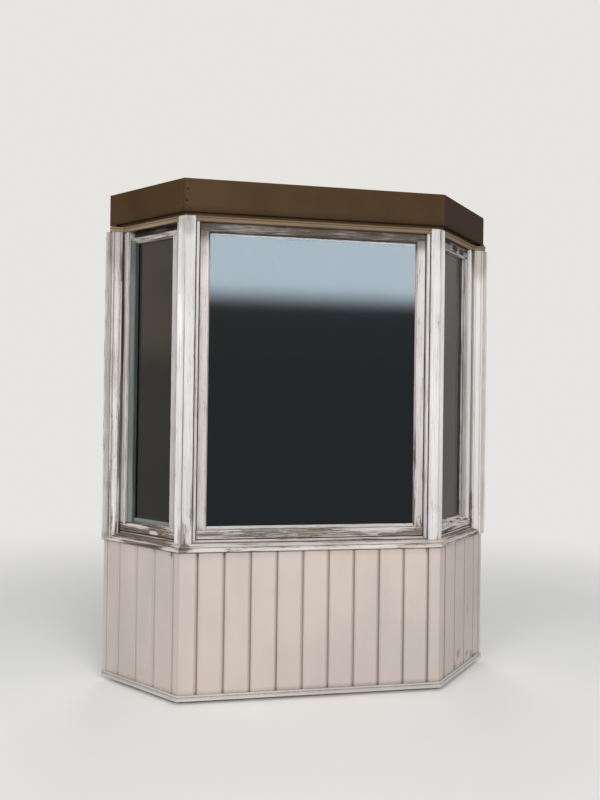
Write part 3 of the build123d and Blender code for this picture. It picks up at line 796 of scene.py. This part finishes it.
# Wall jambs: a moulded casing beside a lower strip, as x and distance in front of the wall
jamb = {
    **woodBar, "spacing": 14.0, "dents": 0.9, "foot": 716.0, "top": 2295.0,
    "profile": [(1040, 0.3), (1040, 22), (1006, 22), (1006, 38), (998, 38), (996, 35), (994, 35),
                (992, 38), (968, 38), (964, 34), (960, 38), (956, 38), (956, 0.3)],
    "left": {
        "wear": [(-959, 1250, 5, 330, 0.13), (-958, 2110, 5, 70, 0.20), (-975, 790, 34, 70, 0.06),
                 (-1004, 900, 4, 180, 0.12)],
        # the marks at the casing's top are painted shade; the long one is the weathered grey of the strip
        "stainAndShade": [(-1022, 1500, 15, 1200, 0.62), (-985, 2230, 44, 120, 0.50), (-1004, 740, 40, 14, 0.5)],
        "fresh": [(-1039, 1200, 3, 600, 0.9), (-985, 1200, 12, 700, 0.4)],
    },
    "right": {
        "wear": [(1020, 900, 20, 160, 0.05), (957, 860, 4, 120, 0.14)],
        # the marks at the casing's top are painted shade; the long one is the weathered grey of the strip
        "stainAndShade": [(1022, 1500, 15, 1200, 0.68), (985, 2245, 44, 110, 0.62)],
        "fresh": [(985, 1350, 40, 1000, 0.9)],
    },
}
jambPlan = [(x, wallLine - forward) for x, forward in jamb["profile"]]
for face, side in flanks.items():
    bar = carriedBar(jambPlan, jamb["foot"], jamb["top"], standAt(side), jamb, 9 + side)
    makePiece(face + "Jamb", [bar], face + "Casing", face + "_casing_paint", [face + "_wall_jamb"],
              **jamb[face])
print("jambs made")

# Head mouldings: one on each face, and a return over each casing
moulding = {
    **woodBar, "dents": 0.5, "endWear": 0.03, "top": 2318, "foot": 2295, "lip": 7, "step": 4,
    "near": 30, "frontBack": 60, "flankBack": 50,
    "returnNear": 150.5, "returnBack": 192.3, "returnRun": (950.58, 1018.0),
    "left": {
        "stainAndShade": [(-980, 2308, 26, 9, 0.6), (-938, 2303, 30, 7, 0.5)],
        "fresh": [(-830, 2308, 260, 18, 0.85)],
    },
    "right": {"fresh": [(800, 2308, 180, 16, 0.55)]},
}


def mouldingSection(near, back):
    # a lip, a step in below it, and a slope in to the foot
    top, foot, lip, step = (moulding[key] for key in ("top", "foot", "lip", "step"))
    return [(near, top), (near, top - lip), (near + step, top - lip), (near + step, foot + lip),
            (near + 2 * step, foot), (back, foot), (back, top)]


frontSection = mouldingSection(moulding["near"], moulding["frontBack"])
flankSection = mouldingSection(moulding["near"], moulding["flankBack"])
returnSection = mouldingSection(moulding["returnNear"], moulding["returnBack"])
openingEnd = bayPlan["frontWidth"] - openingStart
bar = carriedBar(frontSection, openingStart, openingEnd, runOn("front"), moulding, 12)
makePiece("frontMoulding", [bar], "moulding", "moulding_paint", ["front_head_moulding"])
for face, side in flanks.items():
    bars = [carriedBar(flankSection, openingStart, shortWallEnd, runOn(face), moulding, 13.5 + side / 2),
            carriedBar(returnSection, *moulding["returnRun"], acrossWall(side), moulding, 70 + side)]
    makePiece(face + "Moulding", bars, "moulding", "moulding_paint", [face + "_head_moulding"],
              **moulding[face])
print("mouldings made")


# Centre window
def glazedLine(insets, outer, lip, bed):
    # a slope up to a lip, the bed of the glass, and a lip behind it, as inset and height
    near, glassNear, glassFar, back = insets
    return [(near, outer), (glassNear, lip), (glassNear, bed), (glassFar, bed), (glassFar, lip), (back, lip)]


def stilePlan(outer, line, insets, slope, bed):
    # a stile from its outer side to the line where the glass shows, as a coordinate along and an inset
    near, glassNear, glassFar, back = insets
    outward = math.copysign(1, outer - line)
    slopeEnd, bedEnd = line + outward * slope, line + outward * bed
    return [(outer, near), (slopeEnd, near), (line, glassNear), (bedEnd, glassNear), (bedEnd, glassFar),
            (line, glassFar), (line, back), (outer, back)]


centre = {
    **woodBar, "rounding": 1.8, "endWear": 0.06,
    "frameHalf": 566.57, "sightHalf": 518.57, "insets": (60, 76, 96, 115), "slope": 7, "bed": 12,
    "foot": (811, 828, 816), "head": (2258, 2247, 2259), "recess": [(66, 764), (66, 767.5), (60, 767.5)],
    "rails": {
        "wear": [(-190, 790, 350, 22, 0.125), (60, 800, 160, 14, 0.07), (250, 782, 190, 10, 0.12),
                 (556, 794, 32, 32, 0.20), (420, 775, 80, 9, 0.20), (500, 784, 60, 16, 0.20),
                 (-500, 796, 60, 12, 0.10)],
        # painted shade over the head rail and in the joint under the bottom rail, and dark lines beside the
        # glass
        "stainAndShade": [(0, 2292, 2400, 46, 1.1), (0, 2249, 2400, 5, 1.0), (0, 765.5, 1400, 3, 1.5),
                  (0, 813, 1400, 3, 0.8)],
    },
    "stiles": {
        "wear": [(522, 1050, 10, 260, 0.10), (560, 830, 30, 40, 0.08), (-560, 800, 30, 40, 0.07)],
        # painted shade at the tops of the stiles
        "stainAndShade": [(0, 2270, 2400, 60, 0.75), (-700, 2190, 190, 110, 0.30), (-519, 2200, 4, 110, 0.6),
                  (519, 2225, 4, 60, 0.6)],
    },
}
headFoot, headTop = moulding["foot"], moulding["top"]
sillTop = centre["recess"][0][1]
half, near, back = centre["frameHalf"], centre["insets"][0], centre["insets"][-1]
footLine = glazedLine(centre["insets"], *centre["foot"])
headLine = glazedLine(centre["insets"], *centre["head"])
bottomRail = [*centre["recess"], *footLine, (back, sillTop)]
headRail = [(near, headTop), *headLine, (back, headTop)]
bars = [carriedBar(section, halfFront - half, halfFront + half, runOn("front"), centre, 15 + number)
        for number, section in enumerate((bottomRail, headRail))]
makePiece("centreRails", bars, "window", "window_paint", ["centre_rails"], **centre["rails"])


def centrePair(plan, foot, head, seed):
    # the same upright at both sides of the centre window, from its plan of x and inset
    plan = [(x, frontLine + inset) for x, inset in plan]
    return [carriedBar(plan, foot, head, standAt(side), centre, seed + side) for side in flanks.values()]


plan = stilePlan(half, centre["sightHalf"], centre["insets"], centre["slope"], centre["bed"])
bars = centrePair(plan, heightOf(footLine, behindFront), heightOf(headLine, behindFront), 19)
makePiece("centreStiles", bars, "window", "window_paint", ["centre_stiles"], **centre["stiles"])

# The stops cover the joint between a frame and its post, from 4 to 19 mm outside the frame's edge.
stop = {"near": 42, "seat": 80, "inner": 4, "outer": 19, "underMoulding": 59, "underSideMoulding": 49.9}


def stopHead(x, y):
    # stops end below the moulding, and behind it run up to the header
    return np.where(insetAt(x, y) < stop["underMoulding"], float(headFoot), float(headTop))


inner, outer, seat = half + stop["inner"], half + stop["outer"], stop["seat"]
plan = [(inner, stop["near"]), (outer, stop["near"]), (outer, seat), (openingHalf, seat),
        (openingHalf, back), (half, back), (half, seat), (inner, seat)]
bars = centrePair(plan, heightOf(sill["top"], behindFront), stopHead, 23)
makePiece("centreStops", bars, "window", "window_paint", ["centre_stops"])
print("centre window made")

# Side windows
sash = {
    **woodBar, "rounding": 1.5, "spacing": 14.0,
    "start": 84.43, "end": 425.43, "stile": 43.0, "insets": (55, 72, 92, 100), "slope": 6, "bed": 12,
    "boardInsets": (44, 72, 92, 100), "foot": (804, 824, 812), "head": (2238, 2232, 2244),
    "recess": [(50, 764), (50, 767.5), (44, 767.5)], "headStep": (80, 2262), "flushHead": 57,
    "stopFoot": [(42, 802.6), (72, 824), (100, 824)], "stopBack": (50, 100), "stopGap": 0.6,
    "bead": [(64, 818.4), (64, 828), (71.4, 836), (71.4, 823.7)], "beadInset": 42,
    "beadFresh": [(0, 830, 2000, 30, 0.3)],
    "left": {
        "bead": "sash",
        "BottomBoard": {
            "finish": "sashRail",
            "wear": [(-850, 790, 140, 40, 0.11), (-870, 799, 76, 9, -0.22), (-772, 779, 22, 9, -0.22)],
            "stainAndShade": [(-930, 812, 30, 14, 0.7)],
        },
        # painted shade over the sash head, below the moulding
        "SashHead": {"finish": "sashRail", "stainAndShade": [(-820, 2292, 170, 34, 1.3)]},
        "RidgeStile": {"finish": "window"},
        "WallStile": {
            "finish": "sash",
            # painted shade on the stile's bevel beside the glass and at its top
            "stainAndShade": [(-874, 1530, 13, 1400, 1.35), (-895, 2190, 34, 100, 0.45)],
            "fresh": [(-905, 960, 26, 180, 0.35)],
        },
        "Stops": {
            "finish": "spacer",
            # painted shade in the gap beside the casing
            "stainAndShade": [(-948, 1800, 7, 230, 1.3), (-948, 1400, 6, 200, 0.7), (-950, 2080, 5, 160, 1.0),
                      (-952, 830, 6, 70, 0.35), (-951, 2240, 6, 60, 0.9)],
        },
    },
    "right": {
        "bead": "sashRail",
        "BottomBoard": {
            "finish": "sashRail",
            "wear": [(850, 790, 140, 40, -0.05), (780, 778, 60, 6, 0.09), (900, 803, 40, 5, 0.10),
                     (810, 811, 70, 4, 0.08), (835, 796, 26, 4, 0.09)],
            "stainAndShade": [(777, 811, 12, 4, 1.2), (843, 814, 22, 3, 1.2), (862, 806, 4, 10, 0.9),
                      (720, 776, 40, 4, 1.2)],
            "fresh": [(850, 792, 200, 40, 1.0)],
        },
        "SashHead": {
            "finish": "sashRail",
            # dark spots on the sash head, and painted shade in the band below the moulding
            "stainAndShade": [(787, 2266, 22, 12, 2.2), (848, 2262, 20, 12, 2.2), (850, 2290, 400, 20, 0.75),
                      (720, 2264, 30, 30, 0.35), (900, 2262, 30, 24, 0.5)],
        },
        "RidgeStile": {"finish": "window"},
        "WallStile": {
            "finish": "spacer",
            "stainAndShade": [(880, 1530, 4, 1400, 0.85), (892, 1530, 3, 1400, 0.7), (903, 1530, 2, 1400, 0.9),
                      (891, 1530, 26, 1400, 0.2)],
        },
        # painted shade in the gap beside the casing
        "Stops": {"finish": "rightCasing", "stainAndShade": [(951, 860, 5, 90, 0.8), (951, 2250, 6, 60, 0.8)]},
    },
}
railShape = {**sash, "spacing": 6.0, "rowSpacing": 8.0}
stopShape = {**sash, "spacing": 5.0}
beadShape = {**sash, "rounding": 1.0, "spacing": 8.0, "dents": 0.3}
boardLine = glazedLine(sash["boardInsets"], *sash["foot"])
sashLine = glazedLine(sash["insets"], *sash["head"])
near, back = sash["insets"][0], sash["insets"][-1]
boardSection = [*sash["recess"], *boardLine, (back, sillTop)]
stepBack, stepFoot = sash["headStep"]
flush = sash["flushHead"]  # the right head has no recess above it
sashHeads = {
    "left": [(near, stepFoot), *sashLine, (back, headTop), (stepBack, headTop), (stepBack, stepFoot)],
    "right": [(flush, headTop), (flush, sash["head"][0]), *sashLine[1:], (back, headTop)],
}
stileFoot = heightOf(boardLine, flankInset)
stileHead = heightOf(sashLine, flankInset)
stopFoot = heightOf(sash["stopFoot"], flankInset)


def sideStopHead(along, inset):
    # the same as stopHead, on a flank's own plan
    return np.where(inset < stop["underSideMoulding"], float(headFoot), float(headTop))


def sideStop(edge, outward):
    # the plan of a stop and the packing behind it; outward is -1 beside the post and 1 beside the wall
    near, far = edge + outward * stop["inner"], edge + outward * stop["outer"]
    front, back = sash["stopBack"]
    if outward < 0:
        reach = [(openingStart, front), (openingStart, back)]
    else:
        reach = [(wallReach - inset - sash["stopGap"], inset) for inset in (front, back)]
    return [(near, stop["near"]), (far, stop["near"]), (far, front), *reach, (edge, back),
            (edge, stop["seat"]), (near, stop["seat"])]


stiles = [stilePlan(edge, edge + inward * sash["stile"], sash["insets"], sash["slope"], sash["bed"])
          for edge, inward in ((sash["start"], 1), (sash["end"], -1))]
for number, face in enumerate(flanks):
    values, run, stand = sash[face], runOn(face), standOn(face)
    board = carriedBar(boardSection, openingStart, shortWallEnd, run, railShape, 26 + number)
    head = carriedBar(sashHeads[face], sash["start"], sash["end"], run, railShape, 28 + number)
    ridge, wall = (carriedBar(plan, stileFoot, stileHead, stand, sash, seed + number)
                   for plan, seed in zip(stiles, (30, 32)))
    stops = [carriedBar(sideStop(edge, outward), stopFoot, sideStopHead, stand, stopShape, seed + number)
             for edge, outward, seed in ((sash["start"], -1, 34), (sash["end"], 1, 36))]
    for name, bars, slotName, node in (
        ("BottomBoard", [board], "sash_paint", "_sash_rails"),
        ("SashHead", [head], "sash_paint", "_sash_rails"),
        ("RidgeStile", [ridge], "sash_paint", "_sash_stiles"),
        ("WallStile", [wall], "sash_paint", "_sash_stiles"),
        ("Stops", stops, "window_paint", "_stops"),
    ):
        makePiece(face + name, bars, slotName=slotName, nodes=[face + node], **values[name])
beadStart, beadEnd = sash["start"] + sash["beadInset"], sash["end"] - sash["beadInset"]
for number, face in enumerate(flanks):
    bar = carriedBar(sash["bead"], beadStart, beadEnd, runOn(face), beadShape, 38 + number)
    makePiece(face + "GlassBead", [bar], sash[face]["bead"], "sash_paint", [face + "_sash_rails"],
              fresh=sash["beadFresh"])
print("side windows made")

# Friezes and base trims
frieze = {
    **metalBar, "rounding": 1.2, "spacing": 26.0,
    "section": [(9, 2488), (9, 2331), (26, 2331), (26, 2318), (28, 2318), (28, 2333), (11, 2333), (11, 2488)],
    "packing": [(162, 2318.2), (162, 2330.8), (192.2, 2330.8), (192.2, 2318.2)],
    "packingRun": (988, 1014),
    "stainAndShade": {
        "front": [(0, 2338, 900, 6, 0.35), (-646, 2400, 3, 80, 0.3)],
        "left": [(-647, 2400, 5, 80, 0.3)],
        # painted shade over the right flank
        "right": [(880, 2400, 320, 160, 0.74)],
    },
}
trim = {
    **metalBar, "rounding": 0.8, "spacing": 10.0,
    "section": [(0, 18), (0, 33.5), (2.5, 36), (0, 37.25), (0, 41.5), (2.5, 44), (10, 44), (10, 18)],
}
for number, face in enumerate(bayFaces):
    bar = bayRun(frieze["section"], face, frieze, 40 + number)
    makePiece(face + "Frieze", [bar], "frieze", "frieze_metal", [face + "_frieze"],
              stainAndShade=frieze["stainAndShade"][face])
    bar = bayRun(trim["section"], face, trim, 44 + number)
    makePiece(face + "BaseTrim", [bar], "trim", "trim_metal", [face + "_base_trim"])
for face, side in flanks.items():
    bar = carriedBar(frieze["packing"], *frieze["packingRun"], acrossWall(side), frieze, 48 + side)
    makePiece(face + "FriezeReturn", [bar], "frieze", "frieze_metal", [face + "_frieze"])
print("friezes and base trims made")

# Nail heads beside the frieze's left ridge
nail = {
    "radius": 5.5, "rise": 2.4, "sunk": 0.4, "sides": 16, "rings": 5, "firstRing": 0.2, "near": 9.0,
    "crease": 0.5, "stainAndShade": [(-640, 2390, 60, 90, 0.8)],
    "front": [(20.6, 2437), (15.7, 2382)], "left": [(12.0, 2345)],
}


def nailHead(face, along, height):
    # a dome: point(t, a) = middle + radius sin t (cos a, sin a), raised by rise cos t, with a flat back
    turn = np.linspace(0, 2 * np.pi, nail["sides"], endpoint=False)[None]
    fall = np.linspace(nail["firstRing"], 1, nail["rings"])[:, None] * np.pi / 2
    reach = nail["radius"] * np.sin(fall)
    inset = nail["near"] + nail["sunk"] - nail["rise"] * np.cos(fall)
    points = placeOn(face, along + reach * np.cos(turn), inset, height + reach * np.sin(turn))
    points = points.reshape(-1, 3) / 1000
    quads, caps = ringFaces(nail["rings"], nail["sides"])
    if isInsideOut(points, quads, caps):
        quads, caps = quads[:, ::-1], caps[:, ::-1]
    corners = np.concatenate([quads.ravel(), caps.ravel()])
    plain = np.zeros(len(points))
    return {
        "points": points,
        "faces": [*quads.tolist(), *caps.tolist()],
        "uv": points[corners][:, [0, 2]],
        "edge": plain,
        "crease": plain + nail["crease"],
        "wear": plain,
    }


for face in ("front", "left"):
    heads = [nailHead(face, along, height) for along, height in nail[face]]
    makePiece(face + "FriezeNails", heads, "frieze", "frieze_metal", [face + "_frieze"], stainAndShade=nail["stainAndShade"])
print("nail heads made")

# Siding: formed sheets with V grooves at an even pitch, bent round both ridges
siding = {
    **metalBar, "rounding": 1.0, "spacing": 18.0, "creaseWidth": 1.8, "rowSpacing": 14.0,
    "inset": 10.0, "sheet": 2.0, "pitch": 127.0, "depth": 8.0, "slope": 10.0, "flat": 3.0,
    "return": 1.5, "first": 84.0, "bottom": 22.0, "top": 716.0, "wallGap": 0.6,
    # the right flank gets less of the crease's painted shade and dirt
    "rightFlankFrom": 0.70, "rightFlankCrease": 0.4,
    "stainAndShade": [
        # painted shade under the sill: the band along the top and the spots at the groove tops; the marks
        # near the foot are dirt
        (0, 715.5, 1100, 4.5, 1.2), (0, 700, 1100, 14, 0.12), (0, 46, 1100, 8, 0.3),
        *((x, 702, 6, 15, 0.9) for x in (-682, -560, -433, 575)),
        (818, 118, 8, 30, 0.9), (785, 62, 14, 10, 0.6), (897, 86, 12, 13, 0.8), (943, 68, 7, 18, 0.9),
        (965, 54, 24, 8, 0.7), (905, 330, 5, 60, 0.3), (842, 58, 12, 8, 0.5),
    ],
}
ridgeShift = miter * siding["inset"]
sidingFront = bayPlan["frontWidth"] - 2 * ridgeShift
sidingFlank = wallReach - siding["inset"] - ridgeShift
grooveWidth = siding["slope"] + siding["flat"] + siding["return"]


def grooveLine(groove, deeper):
    # a long slope in, a narrow bottom and a steep return; the sheet's back is deeper by its thickness
    near = siding["inset"] + deeper
    start = groove - grooveWidth / 2
    bottom = near + siding["depth"]
    slopeEnd = start + siding["slope"]
    return [(start - deeper / 3, near), (slopeEnd - deeper / 3, bottom),
            (slopeEnd + siding["flat"] + deeper, bottom), (start + grooveWidth + deeper, near)]


def sheetPoint(position, inset):
    # a plan point from its position along the sheet, from the left ridge
    if position < 0:
        return placeOn("left", -position + ridgeShift, inset, 0)[:2]
    if position > sidingFront:
        return placeOn("right", position - sidingFront + ridgeShift, inset, 0)[:2]
    return placeOn("front", position + ridgeShift, inset, 0)[:2]


def sheetOutline(start, end):
    # the closed plan outline of one sheet, whose ends are at the wall or on a groove's bottom
    lines = []
    for deeper in (0, siding["sheet"]):
        near, gap = siding["inset"] + deeper, deeper + siding["wallGap"]
        ends = []
        for position, inward in ((start, 1), (end, -1)):
            atWall = position in sheetEnds
            ends.append((position + inward * gap, near) if atWall else (position, near + siding["depth"]))
        points = [point for groove in grooves for point in grooveLine(groove, deeper)]
        points += ends
        line = [(position, tuple(sheetPoint(position, inset))) for position, inset in points
                if ends[0][0] <= position <= ends[1][0]]
        for ridge, along in ((0, miter * near), (sidingFront, bayPlan["frontWidth"] - miter * near)):
            if start < ridge < end:
                line.append((ridge, tuple(placeOn("front", along, near, 0)[:2])))
        line.sort(key=lambda entry: entry[0])
        lines.append([point for position, point in line])
    return lines[0] + lines[1][::-1]


def seam(groove):
    # the middle of a groove's bottom
    return groove - grooveWidth / 2 + siding["slope"] + siding["flat"] / 2


# whole grooves only, and the sheets meet in the front's first and last one
grooves = [siding["first"] + siding["pitch"] * number for number in range(-12, 24)]
grooves = [groove for groove in grooves
           if grooveWidth - sidingFlank < groove < sidingFront + sidingFlank - grooveWidth]
lastGroove = [groove for groove in grooves if groove < sidingFront - grooveWidth][-1]
sheetEnds = (-sidingFlank, sidingFront + sidingFlank)
cuts = (sheetEnds[0], seam(siding["first"]), seam(lastGroove), sheetEnds[1])
for number, face in enumerate(("left", "front", "right")):
    outline = sheetOutline(cuts[number], cuts[number + 1])
    bar = carriedBar(outline, siding["bottom"], siding["top"], standAt(1), siding, 50 + number)
    onRightFlank = bar["points"][:, 0] > siding["rightFlankFrom"]  # the right flank's grooves get less painted shade and dirt
    bar["crease"] = bar["crease"] * np.where(onRightFlank, siding["rightFlankCrease"], 1.0)
    makePiece(face + "Siding", [bar], "siding", "siding_metal", [face + "_siding"], stainAndShade=siding["stainAndShade"])
print("siding made")

# Glass: units of two panes, each with its own dark tint, which is painted shade of the room behind, and a
# painted colour of its reflections, in linear light
glassLooks = {
    "centreGlass": {"roomShadeTint": (48, 50, 45), "paintedReflectionTint": (0.74, 0.89, 1.0, 1.0)},
    "sideGlass": {"roomShadeTint": (90, 86, 78), "paintedReflectionTint": (1.0, 0.97, 0.92, 1.0)},
}
glassFilm = {
    "film": ((5, 5, 3), 4, 0.6), "ripple": ((1.3, 1.3, 1.0), 2, 0.4), "darker": 0.9, "tintStep": (0.35, 0.7),
    "roughStep": (0.3, 0.75, 0.045, 0.06), "rippleDepth": 0.0006, "bending": 1.40,
}


def makeGlass(name, look):
    # glass darkened by its tint as painted shade of the room behind, with a thin film of dust that roughens
    # it a little; its reflections take a painted colour
    material, tree = startMaterial(name)
    place = objectPlace(tree)
    film = noise(tree, place, *glassFilm["film"])
    deeper = linear(np.multiply(look["roomShadeTint"], glassFilm["darker"]))
    colour = layered(tree, linear(look["roomShadeTint"]), (rise(tree, film, *glassFilm["tintStep"]), deeper))
    roughness = rise(tree, film, *glassFilm["roughStep"])
    ripple = noise(tree, place, *glassFilm["ripple"])
    finishMaterial(tree, colour, roughness, ripple, glassFilm["rippleDepth"], IOR=glassFilm["bending"],
                   Transmission_Weight=1.0, Specular_Tint=look["paintedReflectionTint"])
    return material


for name, look in glassLooks.items():
    finishes[name] = makeGlass(name, look)
pane = {**metalBar, "rounding": 0.8, "spacing": 400.0, "rowSpacing": 600.0, "thickness": 4, "behind": (0, 16)}
# look, where it runs along its face and up, how far in it is, and its seed
centrePane = ("centreGlass", (119.43, 1180.57), (816, 2259), 76, 60)
sidePane = ("sideGlass", (115.43, 394.43), (812, 2244), 72, 62)
panes = {
    "front": (centrePane, "centre_glass", ("outerCentrePane", "innerCentrePane")),
    "left": (sidePane, "left_glass", ("leftOuterPane", "leftInnerPane")),
    "right": (sidePane, "right_glass", ("rightOuterPane", "rightInnerPane")),
}
for number, behind in enumerate(pane["behind"]):
    for face, (values, node, names) in panes.items():
        look, (start, end), height, near, seed = values
        near, far = near + behind, near + behind + pane["thickness"]
        plan = [(start, near), (end, near), (end, far), (start, far)]
        bar = carriedBar(plan, *height, standOn(face), pane, seed + number)
        makePiece(names[number], [bar], look, "window_glass", [node])
strip = {
    **metalBar, "rounding": 0.3, "spacing": 60.0, "rowSpacing": 200.0, "run": (131.9, 1168.1),
    "section": [(74.2, 2238), (74.2, 2244), (75.8, 2244), (75.8, 2238)], "stainAndShade": [(0, 2241, 2400, 20, 0.35)],
}
bar = carriedBar(strip["section"], *strip["run"], runOn("front"), strip, 66)
makePiece("glazingStrip", [bar], "trim", "window_glass", ["centre_glass"], stainAndShade=strip["stainAndShade"])
print("glass made")

# Plain boards and inner finishes on the CAD nodes
boardBase = {
    "lines": (5, 0.6, 0.3), "cloud": ((3, 3, 3), 3, 0.5), "lineShare": 0.7, "cloudShare": 0.3,
    "toneStep": (0.35, 0.65), "roughness": 0.7, "lineRoughness": 0.1, "bumpDepth": 0.0006,
}
boards = {
    "framingTimber": {
        "dark": (172, 138, 98), "light": (204, 173, 132), "stretch": (3, 90, 90),
        "nodes": ["front_header", "side_headers", "floor_platform"],
    },
    "sheathingBoard": {
        "dark": (160, 133, 98), "light": (188, 162, 125), "stretch": (4, 130, 130),
        "nodes": ["front_sheathing", "left_sheathing", "right_sheathing", "floor_deck", "top_board"],
    },
    # the underside board is dark as painted shade of the gap under the base trim
    "undersideBoard": {
        "dark": (62, 53, 43), "light": (88, 76, 62), "stretch": (4, 130, 130), "nodes": ["underside_board"],
    },
    "innerWall": {
        "dark": (214, 210, 200), "light": (226, 222, 213), "stretch": (90, 90, 90), "roughness": 0.6,
        "nodes": ["front_wall_core", "left_wall_core", "right_wall_core"],
    },
    "ceilingPaint": {
        "dark": (224, 222, 216), "light": (232, 230, 225), "stretch": (70, 70, 70),
        "nodes": ["ceiling_platform"],
    },
}


def plainBoard(name, look):
    # a grain stretched along one axis over a cloudy tone
    material, tree = startMaterial(name)
    place = objectPlace(tree)
    lines = noise(tree, place, look["stretch"], *look["lines"])
    cloud = noise(tree, place, *look["cloud"])
    tone = weighted(tree, (lines, look["lineShare"]), (cloud, look["cloudShare"]))
    colour = layered(tree, linear(look["dark"]), (rise(tree, tone, *look["toneStep"]), linear(look["light"])))
    roughness = total(tree, look["roughness"], times(tree, lines, look["lineRoughness"]))
    finishMaterial(tree, colour, roughness, lines, look["bumpDepth"])
    return material


def dressNode(name, material):
    # the material goes into every slot of the node, or into a first one
    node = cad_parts[name]
    if len(node.data.materials) == 0:
        node.data.materials.append(material)
    for number in range(len(node.data.materials)):
        node.data.materials[number] = material


for boardName, look in boards.items():
    material = plainBoard(boardName, {**boardBase, **look})
    for name in look["nodes"]:
        dressNode(name, material)
dressNode("wall_channels", finishes["siding"])
print("boards dressed")
